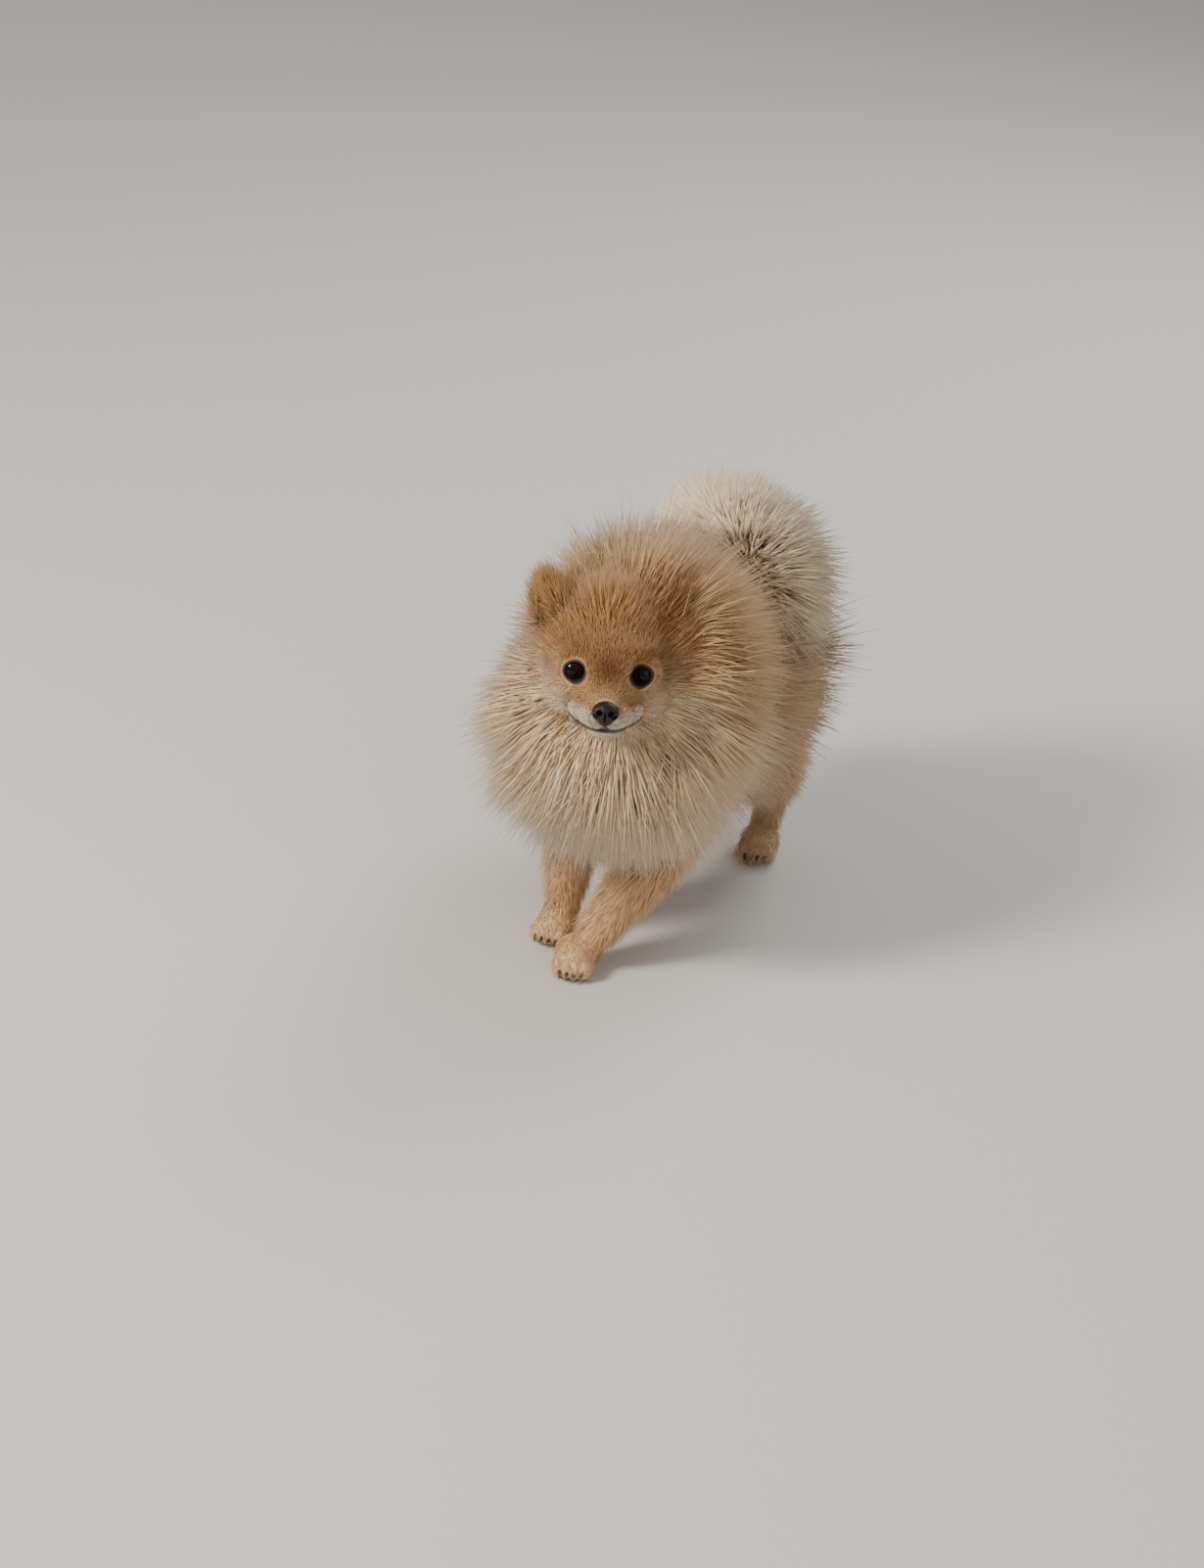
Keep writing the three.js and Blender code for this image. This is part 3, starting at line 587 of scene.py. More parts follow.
def flow_on(form, i, points):
    """Which way the hair points on one form, before it is laid along the skin."""
    if form is SKULL:
        p = world_to_head(points) / MM
        away = unit(p - NOSE_TIP)
        near = np.argmin([np.linalg.norm(p - [side * EYE_GAP / 2, 0, 0], axis=1) for side in (-1, 1)], 0)
        from_eye = unit(p - np.array([[-EYE_GAP / 2, 2, 0], [EYE_GAP / 2, 2, 0]])[near])
        round_eye = hill(eye_distance(p), 8, 6)[:, None]
        return unit((away + np.array([0, 0.55, 0]) + 3.2 * round_eye * from_eye) @ turn_head.T)
    if form is NECK:
        return unit(-form.along[i] + np.array([0, 0, -0.35]))
    if form is TORSO:
        return unit(np.array([0, 1, -0.45]) + 0 * points)
    if form is TAIL:
        return unit(form.along[i] + np.array([0, 0, 0.05]))
    foot = ramp(-points[:, 2], -FOOT_HIGH, -FOOT_LOW)[:, None]
    return unit((form.along[i] + np.array([0, 0.2, 0])) * (1 - foot) + np.array([0, -1, -0.3]) * foot)


def lie_of(points, normals, ear):
    """For each place on the skin: its forms' shares, coat depth, hair direction and place on its form."""
    gaps, depths, flows, spots = [], [], [], []
    on_leg_only = ramp(-points[:, 2], -LEG_HIGH, -LEG_LOW)
    p = world_to_head(points) / MM
    for form in FORMS:
        i, across, rise, past = form.nearest(points)
        wide, high = np.maximum(form.wide[i], 2 * MM), np.maximum(form.high[i], 2 * MM)
        gap = np.sqrt((across / wide) ** 2 + (rise / high) ** 2 + (past / np.minimum(wide, high)) ** 2)
        if form is SKULL:
            gap = gap - 0.8 * ramp(-p[:, 1], -34, -14) - 2 * np.abs(ear)
        if form.name not in LEGS:
            gap = gap + 6 * on_leg_only
        gaps.append(gap)
        angle = np.arctan2(rise / high, across / wide)
        coat = coat_depth_of_head(p) * MM if form is SKULL else form.coat_at(i, angle)
        if form is TORSO:
            coat = coat * (0.94 - 0.36 * ramp(form.t[i], 0.8, 1))
        if form is NECK:
            coat = coat * (1 - 0.08 * np.cos(angle) ** 2)
        depths.append(coat)
        spots.append(np.stack([form.t[i], angle], -1))
        flows.append(flow_on(form, i, points))
    gaps = np.array(gaps)
    share = np.exp(-(gaps - gaps.min(0)) / MELTING)
    share /= share.sum(0)
    depth = (share * np.array(depths)).sum(0)
    depth = np.where(ear != 0, EAR_COAT, depth) * (1 - 0.5 * ramp(-points[:, 2], -FOOT_HIGH, -FOOT_LOW))
    flow = (share[:, :, None] * np.array(flows)).sum(0)
    ear_flow = unit(np.stack([ear * 0.35, 0 * ear + 0.25, 0 * ear + 1], -1)) @ turn_head.T
    flow = np.where((ear != 0)[:, None], ear_flow, flow)
    flow = flow - (flow * normals).sum(-1, keepdims=True) * normals
    best = gaps.argmin(0)
    return share, depth, unit(flow), best, np.array(spots)[best, np.arange(len(points))]


def coat_colour(points, share, ear):
    """The markings, and a painted shade behind the left ear, as colours of the coat over each place on the
    skin, the same for skin and tufts.
    x, y and z are millimetres in the head, and q is millimetres in the body."""
    p = world_to_head(points) / MM
    x, y, z = np.abs(p[:, 0]), p[:, 1], p[:, 2]
    part = {form.name: share[k] for k, form in enumerate(FORMS)}
    legs = sum(part[name] for name in LEGS)
    fore = part["foreleg_left"] + part["foreleg_right"]
    q = (points - shift) / MM
    colour = np.tile(SAND, (len(points), 1))
    colour = toward(colour, SADDLE, 0.8 * ramp(q[:, 2], 122, 165) * ramp(q[:, 1], -70, -10))
    # a dark patch on the left hip, by the root of the tail
    hip_dark = ramp(q[:, 0], 18, 36) * hill(q[:, 1], 62, 18) * hill(q[:, 2], 126, 15)
    colour = toward(colour, HIP_DARK, 0.75 * hip_dark)
    neck = part["neck"]
    colour = toward(colour, CREAM, ramp(neck, 0.2, 0.7))
    mane = neck * ramp(q[:, 2] + 0.55 * q[:, 1], 95, 150)
    colour = toward(colour, GOLD_PALE, 0.85 * ramp(mane, 0.1, 0.8))
    chest = ramp(-q[:, 1], 40, 85) * ramp(-q[:, 2], -158, -120) * (1 - ramp(legs, 0.2, 0.6))
    colour = toward(colour, CHEST, chest)
    colour = toward(colour, PLUME, ramp(part["tail"], 0.3, 0.6))
    colour = toward(colour, APRICOT, ramp(legs, 0.3, 0.7) * (0.55 + 0.45 * ramp(fore, 0.2, 0.6)))
    head = ramp(part["skull"], 0.35, 0.65)
    face = np.tile(GOLD, (len(points), 1))
    face = toward(face, GOLD_PALE, ramp(z, 22, 40) * ramp(y, 10, 30))
    face = toward(face, CHEEK, ramp(x, 14, 24) * ramp(-z, -8, 3))
    face = toward(face, CREAM, ramp(-z, 4, 16) * ramp(x, 14, 24))
    face = toward(face, CREAM, ramp(-z, 26, 30) * ramp(y, -6, 4))
    face = toward(face, STOP_BROWN, 0.95 * hill(x, 0, 7.5) * hill(z, 2, 9) * ramp(-y, -16, -4))
    face = toward(face, STOP_BROWN, 0.5 * hill(x, 17, 11) * hill(z, 9, 5) * ramp(-y, -14, -4))
    face = toward(face, STOP_BROWN, 0.55 * hill(x, 30, 7) * hill(z, -1, 5) * ramp(-y, -26, -10))
    face = toward(face, GOLD_PALE, ramp(-y, 2, 9) * hill(x, 0, 9) * hill(z, -11, 5))
    face = toward(face, LIP_WHITE, ramp(-y, 4, 12) * ramp(-z, 14.5, 18.5))
    face = toward(face, LIP_WHITE, 0.8 * ramp(-z, 25.5, 28) * ramp(-y, -2, 6))
    # painted shade behind the left ear, on the side away from the key light
    face = toward(face, PAINTED_EAR_SHADE, 0.5 * hill(x, 40, 9) * hill(z, 24, 12) * ramp(p[:, 0], 0, 10))
    colour = toward(colour, face, head)
    colour = toward(colour, GOLD * 0.8, np.abs(ear))
    return np.clip(colour * (1 + 0.08 * waves(points, 15 * MM, 4))[:, None], 0, 1)


# The hide: thin, tan skin with a nap of the shortest fur, and bare, damp, near-black leather on the
# rims of the lids, the lips and the pads. One skin takes the place of all the flesh.
def surface_change():
    """A shared node group: colour that varies over a piece, and a fine bump, from its own coordinates."""
    group = bpy.data.node_groups.new("surface_change", "ShaderNodeTree")
    for name, kind in (("Colour", "Color"), ("Grain", "Float"), ("Change", "Float"), ("Depth", "Float")):
        group.interface.new_socket(name, in_out="INPUT", socket_type="NodeSocket" + kind)
    group.interface.new_socket("Colour", in_out="OUTPUT", socket_type="NodeSocketColor")
    group.interface.new_socket("Normal", in_out="OUTPUT", socket_type="NodeSocketVector")
    nodes, links = group.nodes, group.links
    given, made = nodes.new("NodeGroupInput"), nodes.new("NodeGroupOutput")
    place = nodes.new("ShaderNodeTexCoord")
    noise = nodes.new("ShaderNodeTexNoise")
    noise.inputs["Detail"].default_value = 3
    links.new(place.outputs["Object"], noise.inputs["Vector"])
    links.new(given.outputs["Grain"], noise.inputs["Scale"])
    centred = nodes.new("ShaderNodeMath")
    centred.operation = "SUBTRACT"
    links.new(noise.outputs["Fac"], centred.inputs[0])
    centred.inputs[1].default_value = 0.5
    swing = nodes.new("ShaderNodeMath")
    swing.operation = "MULTIPLY_ADD"
    links.new(centred.outputs[0], swing.inputs[0])
    links.new(given.outputs["Change"], swing.inputs[1])
    swing.inputs[2].default_value = 1.0
    varied = nodes.new("ShaderNodeVectorMath")
    varied.operation = "SCALE"
    links.new(given.outputs["Colour"], varied.inputs[0])
    links.new(swing.outputs[0], varied.inputs["Scale"])
    bump = nodes.new("ShaderNodeBump")
    bump.inputs["Distance"].default_value = 0.4 * MM
    links.new(given.outputs["Depth"], bump.inputs["Strength"])
    links.new(noise.outputs["Fac"], bump.inputs["Height"])
    links.new(varied.outputs[0], made.inputs["Colour"])
    links.new(bump.outputs["Normal"], made.inputs["Normal"])
    return group


SURFACE = surface_change()


def finish_of(name, colour, grain, change, depth, **values):
    """A procedural material. Its colour is a value or the name of a colour kept on the mesh."""
    made = bpy.data.materials.new(name)
    made.use_nodes = True
    nodes, links = made.node_tree.nodes, made.node_tree.links
    shader = nodes["Principled BSDF"]
    surface = nodes.new("ShaderNodeGroup")
    surface.node_tree = SURFACE
    surface.inputs["Grain"].default_value = grain
    surface.inputs["Change"].default_value = change
    surface.inputs["Depth"].default_value = depth
    if isinstance(colour, str):
        kept = nodes.new("ShaderNodeAttribute")
        kept.attribute_name = colour
        links.new(kept.outputs["Color"], surface.inputs["Colour"])
    else:
        surface.inputs["Colour"].default_value = (*colour, 1)
    links.new(surface.outputs["Colour"], shader.inputs["Base Color"])
    links.new(surface.outputs["Normal"], shader.inputs["Normal"])
    for socket, value in values.items():
        shader.inputs[socket.replace("_", " ")].default_value = value
    return made


def keep_colour(piece, name, colours):
    store = piece.data.color_attributes.new(name, "FLOAT_COLOR", "POINT")
    packed = np.ones((len(piece.data.vertices), 4), np.float32)
    packed[:, :3] = np.clip(colours, 0, 1)
    store.data.foreach_set("color", packed.ravel())


share, depth, flow, best, spot = lie_of(skin_points, skin_normals, ear_of)
p = world_to_head(skin_points) / MM
lid_rim = ramp(-lid_share(p), -LID_RIM[0], -LID_RIM[1]) * (ear_of == 0)
lip_rim = 0.9 * ramp(-lip_distance(p), -LIP_RIM[0], -LIP_RIM[1]) * (ear_of == 0)
pad = ramp(-skin_points[:, 2], -2.2 * MM, -1.2 * MM)
skin_colour = coat_colour(skin_points, share, ear_of) * 0.85
for bare in (lid_rim, lip_rim, pad):
    skin_colour = toward(skin_colour, PIGMENT, bare)
keep_colour(skin, "coat_colour", skin_colour)
skin.data.materials.append(finish_of("hide", "coat_colour", 900, 0.3, 0.5, Roughness=0.6))
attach(skin, "root")
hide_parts("head", "neck", "torso", "tail", "ear_left", "ear_right",
            "foreleg_left", "forefoot_left", "foreleg_right", "forefoot_right",
            "hindleg_left", "hindfoot_left", "hindleg_right", "hindfoot_right")

# The coat. A pomeranian's is a dense undercoat with a long, straight outer coat that stands off from
# the body. Here it is solid tapered tufts, rooted in the skin and lying as the real hair lies.
UV_PATCH = 0.003
TRIM_LOW, TRIM_HIGH = (np.array(corner) for corner in cad_bounds)
TRIM_ROOM = 0.03 * (TRIM_HIGH - TRIM_LOW) + 8 * MM  # the coat is trimmed this far outside the solids
TRIM_LOW, TRIM_HIGH = TRIM_LOW - TRIM_ROOM, TRIM_HIGH + TRIM_ROOM
RING_ANGLES = np.array([0, 1, 2]) * (2 * math.pi / 3)
LEVELS = (0.0, 0.52)
GIRTHS = (0.42, 0.5)
TUFT_POINTS = 7
KNEE_UP, KNEE_ALONG = 0.6, 0.28  # where a tuft bends over, as shares of its rise and its run
MOST_TRIMMED = 0.75
TUFT_FACES = np.array(
    [(2, 1, 0)]
    + [(j, (j + 1) % 3, 3 + (j + 1) % 3) for j in range(3)]
    + [(j, 3 + (j + 1) % 3, 3 + j) for j in range(3)]
    + [(3 + j, 3 + (j + 1) % 3, 6) for j in range(3)]
)
coat_finish = finish_of("coat", "coat_colour", 260, 0.35, 0.0, Roughness=0.6, Specular_IOR_Level=0.3,
                        Sheen_Weight=0.12, Sheen_Roughness=0.4)


def tufts(name, root, normal, flow, height, trail, width, root_colour, tip_colour, spot):
    """One joined mesh of closed, three-sided tufts that rise from the skin and bend over along the coat."""
    count = len(root)
    rise = normal * height[:, None]
    run = flow * (height * trail)[:, None]
    tip = root + rise + run
    outside = (np.maximum(tip - TRIM_HIGH, TRIM_LOW - tip) / np.maximum(np.abs(tip - root), 1e-6)).max(1)
    short = (1 - np.clip(outside, 0, MOST_TRIMMED))[:, None]
    rise, run = rise * short, run * short
    knee, tip = root + rise * KNEE_UP + run * KNEE_ALONG, root + rise + run
    start = root - normal * np.minimum(1.5 * MM, 0.3 * height)[:, None]
    points = np.empty((count, TUFT_POINTS, 3))
    roll = draws.uniform(0, 2 * math.pi, count)
    for k, t in enumerate(LEVELS):
        middle = start * (1 - t) ** 2 + knee * (2 * t * (1 - t)) + tip * t**2
        onwards = unit(2 * (1 - t) * (knee - start) + 2 * t * (tip - knee))
        across = unit(np.cross(onwards, normal + 0.3 * flow + 1e-6))
        upwards = np.cross(across, onwards)
        half = width * GIRTHS[k]
        for j, angle in enumerate(RING_ANGLES):
            c, s = np.cos(angle + roll), np.sin(angle + roll)
            ring = across * (half * c)[:, None], upwards * (half * 0.65 * s)[:, None]
            points[:, k * 3 + j] = middle + ring[0] + ring[1]
    points[:, -1] = tip
    points[:, :, 2] = np.maximum(points[:, :, 2], 0.6 * MM)
    faces = (TUFT_FACES[None] + (np.arange(count) * TUFT_POINTS)[:, None, None]).reshape(-1, 3)
    piece = new_mesh(name, points.reshape(-1, 3), faces)
    shade = np.array([LEVELS[0]] * 3 + [LEVELS[1]] * 3 + [1.0])
    colour = root_colour[:, None] + (tip_colour - root_colour)[:, None] * shade[None, :, None]
    keep_colour(piece, "coat_colour", colour.reshape(-1, 3))
    low, high = spot.min(0), spot.max(0)
    place = 0.01 + 0.975 * (spot - low) / np.maximum(high - low, 1e-6)
    patch = [((j - 1) * 0.4, t - 0.5) for t in LEVELS for j in range(3)] + [(0.0, 0.5)]
    uv = (place[:, None] + np.array(patch)[None] * UV_PATCH).reshape(-1, 2)
    corners = uv[faces.ravel()].astype(np.float32).ravel()
    piece.data.uv_layers.new(name="OFBake").data.foreach_set("uv", corners)
    piece.data.materials.append(coat_finish)
    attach(piece, "root")
    return piece


# Which piece of coat grows on each triangle of the skin, how many tufts it has, and its paint slot.
FACE_BACK = 15
names = [form.name for form in FORMS]
corners_of = np.concatenate([skin_quads[:, [0, 1, 2]], skin_quads[:, [0, 2, 3]]])
a, b, c = (skin_points[corners_of[:, k]] for k in range(3))
middle = (a + b + c) / 3
area = np.linalg.norm(np.cross(b - a, c - a), axis=1) / 2
kind = best[corners_of[:, 0]]
in_head = world_to_head(middle) / MM
left = (middle - shift)[:, 0] > 0
front = (middle - shift)[:, 1] < -72 * MM
skull, neck, torso = (kind == names.index(name) for name in ("skull", "neck", "torso"))
on_ear = ear_of[corners_of[:, 0]] != 0
on_face = skull & (in_head[:, 1] < FACE_BACK) & ~on_ear
on_leg = {
    end: np.isin(kind, [k for k, name in enumerate(names) if name.startswith(end)])
    for end in ("fore", "hind")
}
PIECES = {
    "coat_face": (on_face, 19600, "orange_coat"),
    "coat_head": (skull & ~on_face & ~on_ear, 17500, "orange_coat"),
    "coat_ears": (on_ear, 5000, "orange_coat"),
    "coat_bib_left": (neck & left & front, 10500, "cream_coat"),
    "coat_bib_right": (neck & ~left & front, 10500, "cream_coat"),
    "coat_mane_left": (neck & left & ~front, 8500, "cream_coat"),
    "coat_mane_right": (neck & ~left & ~front, 8500, "cream_coat"),
    "coat_body_left": (torso & left, 15500, "sand_coat"),
    "coat_body_right": (torso & ~left, 15500, "sand_coat"),
    "coat_tail": (kind == names.index("tail"), 16500, "white_coat"),
    "coat_forelegs": (on_leg["fore"], 12500, "apricot_coat"),
    "coat_hindlegs": (on_leg["hind"], 12500, "sand_coat"),
}
bare = lid_share(in_head) < LID_RIM[0]
bare |= lip_distance(in_head) < LIPS_BARE
bare |= (in_head[:, 1] < -23.5) & (np.abs(in_head[:, 0]) < 7) & (in_head[:, 2] > -22)
bare |= middle[:, 2] < 2.5 * MM
bare &= ear_of[corners_of[:, 0]] == 0

OUTER_SHARE = 0.6  # this share of the tufts is outer coat, and the rest is undercoat
for name, (mask, wanted, slot) in PIECES.items():
    room = np.where(mask & ~bare, area, 0)
    count = np.floor(room * wanted / room.sum() + draws.random(len(room))).astype(int)
    which = np.repeat(np.arange(len(room)), count)
    u, v = draws.random(len(which)), draws.random(len(which))
    beyond = u + v > 1
    u[beyond], v[beyond] = 1 - u[beyond], 1 - v[beyond]
    weight = np.stack([1 - u - v, u, v], -1)[..., None]
    root = (skin_points[corners_of[which]] * weight).sum(1)
    normal = unit((skin_normals[corners_of[which]] * weight).sum(1))
    ear = ear_of[corners_of[which, 0]]
    share, depth, flow, best, spot = lie_of(root, normal, ear)
    colour = coat_colour(root, share, ear)
    tail_share = share[names.index("tail")]

    full = draws.random(len(root))
    outer, under = 0.86 + 0.28 * full, 0.45 + 0.9 * (full - OUTER_SHARE)
    height = depth * np.where(full < OUTER_SHARE, outer, under)
    long = ramp(depth, 4 * MM, 20 * MM)
    sway = np.stack([waves(root, 17 * MM, s) for s in (7, 8, 9)], -1)
    stray = (0.1 + 0.08 * long)[:, None] * draws.normal(size=flow.shape)
    flow = unit(flow + stray + 0.28 * long[:, None] * sway)
    trail = (2.6 - 1.75 * long) * (1 - tail_share) + 0.6 * tail_share
    leaning = unit(normal + 0.15 * sway * long[:, None] + 0.09 * draws.normal(size=flow.shape))
    width = (0.42 + 0.55 * long + 0.8 * tail_share) * MM * draws.uniform(0.7, 1.2, len(root))
    mixed = 1 + 0.07 * draws.normal(size=(len(root), 1))
    tips = root + leaning * height[:, None] + flow * (height * trail)[:, None]
    clear = lid_share(world_to_head(tips) / MM) > TIPS_CLEAR
    # each tuft is painted darker at its root and lighter at its tip: painted shade down in the coat
    laid = (root, leaning, flow, height, trail, width, colour * 0.9 * mixed, colour * 1.08 * mixed, spot)
    tufts_made = tufts(name, *(values[clear] for values in laid))

# The eyes: dark brown, round and wet, with a black pupil behind a clear bulging front. They sit in the
# sockets of the skin and look straight out, a little outwards.
IRIS_ANGLE = math.radians(52)
PUPIL_ANGLE = math.radians(25)
IRIS = np.array([0.050, 0.017, 0.007])
PUPIL = np.array([0.004, 0.003, 0.003])
EYE_WHITE = np.array([0.16, 0.10, 0.075])
EYE_LINES, EYE_ROUND = 40, 48
eye_finish = finish_of("wet_eye", "eye_colour", 2400, 0.5, 0.0, Roughness=0.12, Coat_Weight=0.2,
                       Coat_Roughness=0.02, Specular_IOR_Level=0.12)

for side, centre, name in ((1, eye_centres[0], "eye_left"), (-1, eye_centres[1], "eye_right")):
    gaze = turn_head @ unit(np.array([side * 0.12, -1, 0.03]))
    across = unit(np.cross(gaze, [0, 0, 1.0]))
    upward = np.cross(across, gaze)
    fall = np.linspace(0.02, math.pi - 0.02, EYE_LINES)
    turn = np.linspace(0, 2 * math.pi, EYE_ROUND, endpoint=False)
    bulge = EYE_RADIUS * (0.985 + 0.045 * np.exp(-((fall / 0.62) ** 2)))
    rim = (bulge * np.sin(fall))[:, None, None]
    ring = rim * (np.cos(turn)[None, :, None] * across + np.sin(turn)[None, :, None] * upward)
    points = (np.array(centre) + ring + (bulge * np.cos(fall))[:, None, None] * gaze).reshape(-1, 3)
    k, j = np.meshgrid(np.arange(EYE_LINES - 1), np.arange(EYE_ROUND), indexing="ij")
    k, j, after = k.ravel(), j.ravel(), (j.ravel() + 1) % EYE_ROUND
    quads = np.stack([k * EYE_ROUND + j, k * EYE_ROUND + after, (k + 1) * EYE_ROUND + after,
                      (k + 1) * EYE_ROUND + j], -1)
    last = (EYE_LINES - 1) * EYE_ROUND
    half = EYE_ROUND // 2
    for start in (0, last):
        row = start + np.arange(half - 1)
        other = start + EYE_ROUND - 1 - np.arange(half - 1)
        cap = np.stack([row, row + 1, other - 1, other], -1)
        quads = np.concatenate([quads, cap[:, ::-1] if start == 0 else cap])
    eyeball = new_mesh(name + "_ball", *outwards(points, quads))
    away = np.repeat(fall, EYE_ROUND)
    shade = toward(np.tile(IRIS, (len(away), 1)), EYE_WHITE, ramp(away, IRIS_ANGLE, IRIS_ANGLE + 0.12))
    shade = toward(shade, PUPIL, ramp(-away, -PUPIL_ANGLE - 0.05, -PUPIL_ANGLE))
    shade = toward(shade, PUPIL, 0.8 * hill(away, IRIS_ANGLE, 0.1))
    keep_colour(eyeball, "eye_colour", shade)
    eyeball.data.materials.append(eye_finish)
    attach(eyeball, "root")
    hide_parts(name)

# The nose: damp black leather with a pebbled grain, two comma-shaped nostrils and the groove between
# them. It is modelled as its own clay and set on the end of the muzzle.
NOSE_STEP = 0.35
NOSE_BLOCK = ((-12, 12), (-38, -16), (-28, -7))
nose_clay = Clay([np.arange(low, high, NOSE_STEP) * MM for low, high in NOSE_BLOCK])
nose_clay.add((0, -27.2, -15.4), (6.3, 5.2, 4.9), 1, (), ON_ITS_OWN)
nose_clay.add((0, -27.4, -18.8), (4.7, 4.9, 5.0), 3.0, (), ON_ITS_OWN)
for side in (-1, 1):
    nose_clay.add((side * 4.1, -27, -16.6), (3.2, 4.8, 3.6), 1.5, (), ON_ITS_OWN)
    nose_clay.carve((side * 3.1, -32.2, -16.4), (1.55, 3.0, 1.55), 0.7, (0, side * 0.5, 0), ON_ITS_OWN)
    nose_clay.carve((side * 5.6, -30.6, -18.1), (2.3, 2.2, 0.75), 0.6, (0, side * -0.35, 0), ON_ITS_OWN)
nose_clay.carve((0, -32.6, -20), (0.5, 1.7, 4.2), 0.5, (), ON_ITS_OWN)
nose_points, nose_quads = nose_clay.surface()
nose = new_mesh("nose_leather", *outwards(head_to_world(nose_points), nose_quads))
nose_finish = finish_of("nose_leather", (0.017, 0.0095, 0.007), 1500, 0.5, 0.9, Roughness=0.34,
                        Specular_IOR_Level=0.25, Coat_Weight=0.12, Coat_Roughness=0.25)
nose.data.materials.append(nose_finish)
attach(nose, "root")
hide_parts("nose")

# Whiskers, lashes and claws: single tapered horns or hairs that stand in the skin and bend to one
# side. One node tree grows them all, from points that carry their way, bend and length.
def bristle_tree():
    tree = bpy.data.node_groups.new("bristles", "GeometryNodeTree")
    tree.interface.new_socket("Roots", in_out="INPUT", socket_type="NodeSocketGeometry")
    for name in ("Slimness", "Bend"):
        tree.interface.new_socket(name, in_out="INPUT", socket_type="NodeSocketFloat")
    tree.interface.new_socket("Finish", in_out="INPUT", socket_type="NodeSocketMaterial")
    tree.interface.new_socket("Bristles", in_out="OUTPUT", socket_type="NodeSocketGeometry")
    nodes, links = tree.nodes, tree.links
    given, made = nodes.new("NodeGroupInput"), nodes.new("NodeGroupOutput")
    end = nodes.new("ShaderNodeCombineXYZ")
    end.inputs["Z"].default_value = 1
    links.new(given.outputs["Bend"], end.inputs["Y"])
    spine = nodes.new("GeometryNodeCurveQuadraticBezier")
    spine.inputs["Resolution"].default_value = 8
    spine.inputs["Start"].default_value = (0, 0, 0)
    spine.inputs["Middle"].default_value = (0, 0, 0.55)
    links.new(end.outputs[0], spine.inputs["End"])
    along = nodes.new("GeometryNodeSplineParameter")
    squared = nodes.new("ShaderNodeMath")
    squared.operation = "POWER"
    links.new(along.outputs["Factor"], squared.inputs[0])
    squared.inputs[1].default_value = 1.6
    left_over = nodes.new("ShaderNodeMath")
    left_over.operation = "SUBTRACT"
    left_over.inputs[0].default_value = 1.02
    links.new(squared.outputs[0], left_over.inputs[1])
    radius = nodes.new("ShaderNodeMath")
    radius.operation = "MULTIPLY"
    links.new(left_over.outputs[0], radius.inputs[0])
    links.new(given.outputs["Slimness"], radius.inputs[1])
    section = nodes.new("GeometryNodeCurvePrimitiveCircle")
    section.inputs["Resolution"].default_value = 6
    section.inputs["Radius"].default_value = 1
    skinned = nodes.new("GeometryNodeCurveToMesh")
    skinned.inputs["Fill Caps"].default_value = True
    links.new(spine.outputs["Curve"], skinned.inputs["Curve"])
    links.new(radius.outputs[0], skinned.inputs["Scale"])
    links.new(section.outputs["Curve"], skinned.inputs["Profile Curve"])
    kept = {}
    for name, kind in (("way", "FLOAT_VECTOR"), ("bend_way", "FLOAT_VECTOR"), ("length", "FLOAT")):
        kept[name] = nodes.new("GeometryNodeInputNamedAttribute")
        kept[name].data_type = kind
        kept[name].inputs["Name"].default_value = name
    point_to = nodes.new("FunctionNodeAlignRotationToVector")
    point_to.axis = "Z"
    links.new(kept["way"].outputs["Attribute"], point_to.inputs["Vector"])
    bend_to = nodes.new("FunctionNodeAlignRotationToVector")
    bend_to.axis = "Y"
    bend_to.pivot_axis = "Z"
    links.new(point_to.outputs["Rotation"], bend_to.inputs["Rotation"])
    links.new(kept["bend_way"].outputs["Attribute"], bend_to.inputs["Vector"])
    grown = nodes.new("GeometryNodeInstanceOnPoints")
    links.new(given.outputs["Roots"], grown.inputs["Points"])
    links.new(skinned.outputs["Mesh"], grown.inputs["Instance"])
    links.new(bend_to.outputs["Rotation"], grown.inputs["Rotation"])
    links.new(kept["length"].outputs["Attribute"], grown.inputs["Scale"])
    real = nodes.new("GeometryNodeRealizeInstances")
    links.new(grown.outputs["Instances"], real.inputs["Geometry"])
    smooth = nodes.new("GeometryNodeSetShadeSmooth")
    links.new(real.outputs["Geometry"], smooth.inputs["Geometry"])
    dressed = nodes.new("GeometryNodeSetMaterial")
    links.new(smooth.outputs["Geometry"], dressed.inputs["Geometry"])
    links.new(given.outputs["Finish"], dressed.inputs["Material"])
    links.new(dressed.outputs["Geometry"], made.inputs["Bristles"])
    return tree


BRISTLES = bristle_tree()


def grow_bristles(name, roots, ways, bend_ways, lengths, slimness, bend, finish):
    mesh = bpy.data.meshes.new(name)
    mesh.from_pydata([tuple(root) for root in roots], [], [])
    for key, values in (("way", ways), ("bend_way", bend_ways)):
        kept = mesh.attributes.new(key, "FLOAT_VECTOR", "POINT")
        kept.data.foreach_set("vector", np.asarray(values, np.float32).ravel())
    kept = mesh.attributes.new("length", "FLOAT", "POINT")
    kept.data.foreach_set("value", np.asarray(lengths, np.float32))
    piece = bpy.data.objects.new(name, mesh)
    bpy.context.scene.collection.objects.link(piece)
    growth = piece.modifiers.new("growth", "NODES")
    growth.node_group = BRISTLES
    given = {"Slimness": slimness, "Bend": bend, "Finish": finish}
    for socket in BRISTLES.interface.items_tree:
        if socket.in_out == "INPUT" and socket.name in given:
            growth[socket.identifier] = given[socket.name]
    bpy.context.view_layer.update()
    grown = piece.evaluated_get(bpy.context.evaluated_depsgraph_get())
    made = bpy.data.meshes.new_from_object(grown)
    piece.modifiers.clear()
    piece.data = made
    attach(piece, "root")
    return piece


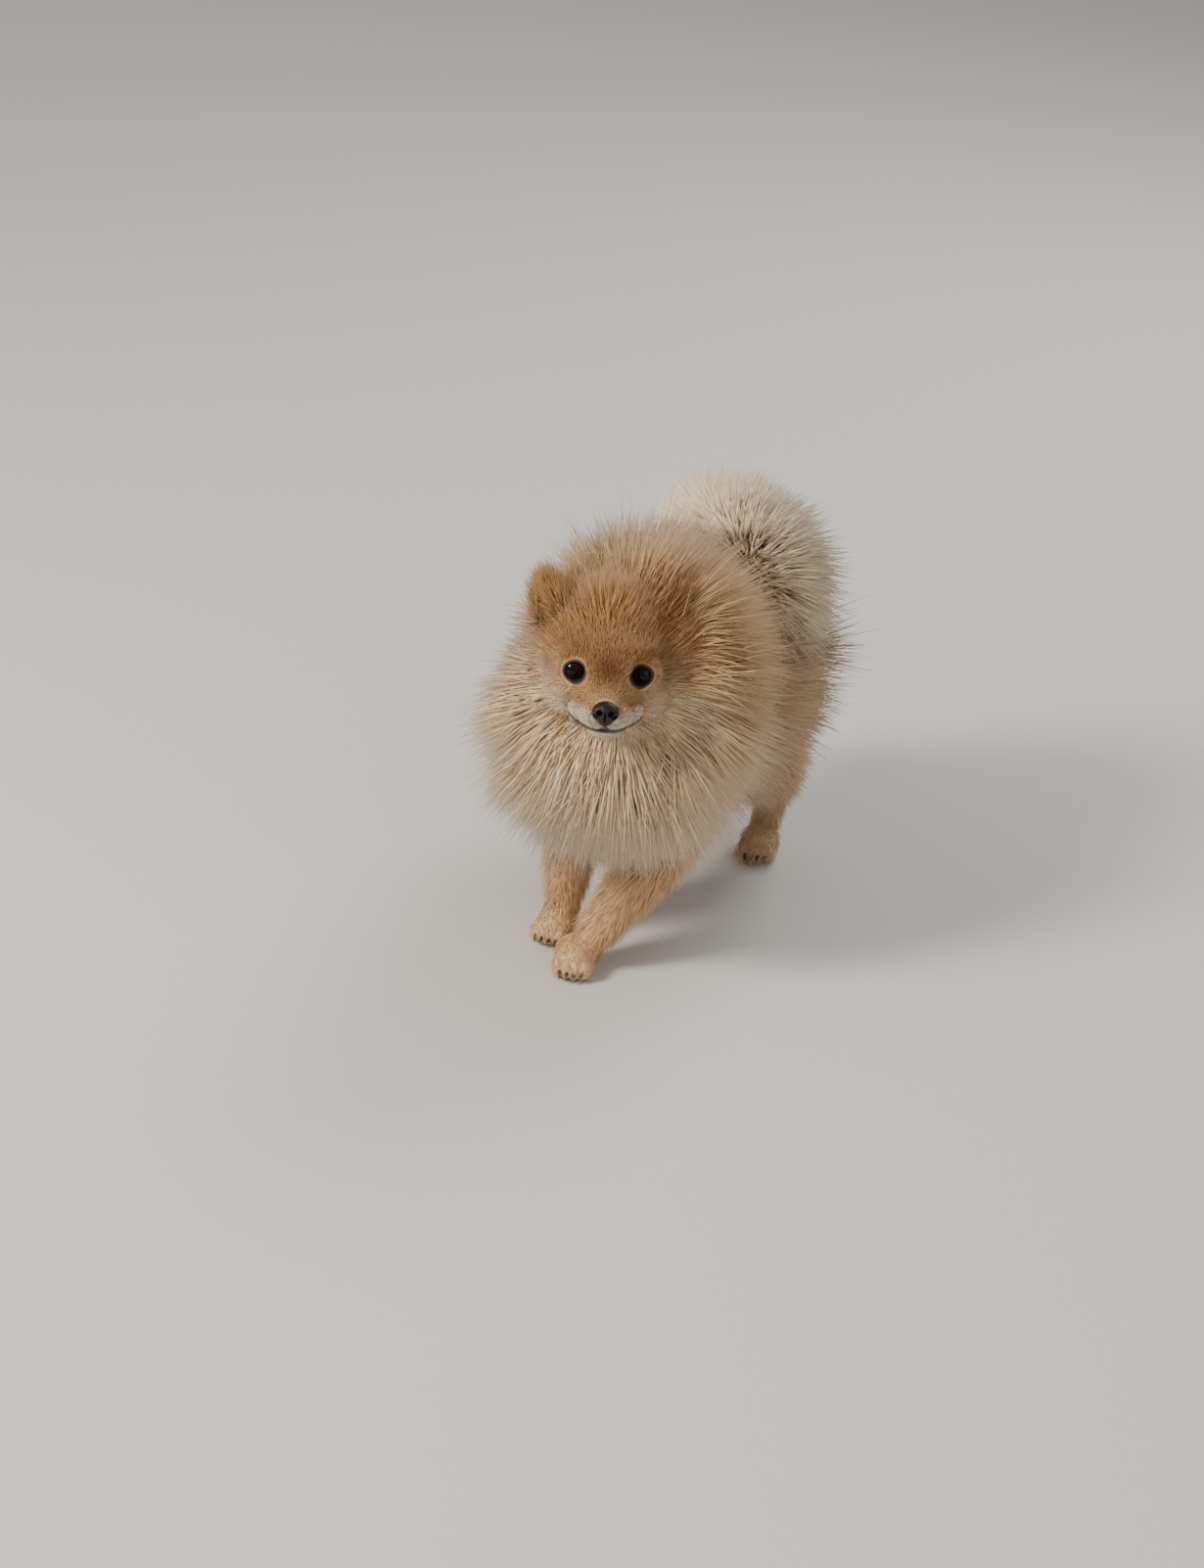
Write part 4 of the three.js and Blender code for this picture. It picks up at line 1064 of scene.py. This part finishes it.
def skin_at(place, way):
    """Where a line from a place, along a way, meets the skin's points most nearly, and the normal there."""
    q = skin_points - place
    ahead_of = q @ way
    aside = np.linalg.norm(q - ahead_of[:, None] * way, axis=1)
    k = np.argmin(np.where(ahead_of > 0, aside, 1))
    return skin_points[k], skin_normals[k]


whisker_finish = finish_of("whisker", (0.09, 0.055, 0.035), 800, 0.4, 0.0, Roughness=0.4)
roots, ways, bends, lengths = [], [], [], []
for side in (-1, 1):
    for row in range(3):
        for k in range(4):
            place = np.array([side * (7.5 + 1.8 * k), -19 + 3.4 * k, -17 - 2.6 * row])
            out = unit(np.array([side * 1.0, -0.25 + 0.15 * k, 0.12 - 0.3 * row]))
            root, normal = skin_at(head_to_world((place - out * 6) * MM), turn_head @ out)
            roots.append(root - normal * 0.5 * MM)
            ways.append(unit(turn_head @ out + 0.1 * draws.normal(size=3)))
            bends.append(turn_head @ np.array([0, 0.9, -0.45]))
            lengths.append((17 + 3.2 * k + 2.5 * draws.normal()) * MM)
grow_bristles("whiskers", roots, ways, bends, lengths, 0.0042, 0.28, whisker_finish)

LASHES = 15
roots, ways, bends, lengths = [], [], [], []
for side in (-1, 1):
    middle_of_eye = np.array([side * EYE_GAP / 2, EYES_BEHIND / MM, 0])
    for k in range(LASHES):
        turn = math.pi * (0.1 + 0.8 * k / (LASHES - 1))
        rim = middle_of_eye + np.array([5.5 * math.cos(turn), -EYE * 0.86, 4.6 * math.sin(turn)])
        out = unit(np.array([0.5 * math.cos(turn) + side * 0.2, -1.1, 0.75 * math.sin(turn) + 0.1]))
        roots.append(head_to_world(rim * MM))
        ways.append(turn_head @ out)
        bends.append(turn_head @ np.array([0, 0, 1.0]))
        lengths.append((3.0 + 0.5 * draws.random()) * MM)
grow_bristles("lashes", roots, ways, bends, lengths, 0.022, 0.3, whisker_finish)

claw_finish = finish_of("claw_horn", (0.06, 0.04, 0.03), 1200, 0.5, 0.2, Roughness=0.35, Coat_Weight=0.2)
roots, ways, bends, lengths = [], [], [], []
for toe, toe_turn in toe_tips:
    forward = np.array([math.sin(toe_turn), -math.cos(toe_turn), 0])
    tip_of_toe = toe * MM + forward * (TOE[1] - 0.9) * MM + shift * np.array([1, 1, 0])
    roots.append(tip_of_toe + np.array([0, 0, 0.2 * MM]))
    ways.append(unit(forward + np.array([0, 0, -0.32])))
    bends.append(np.array([0, 0, -1.0]))
    lengths.append(5.2 * MM)
grow_bristles("claws", roots, ways, bends, lengths, 0.21, 0.22, claw_finish)
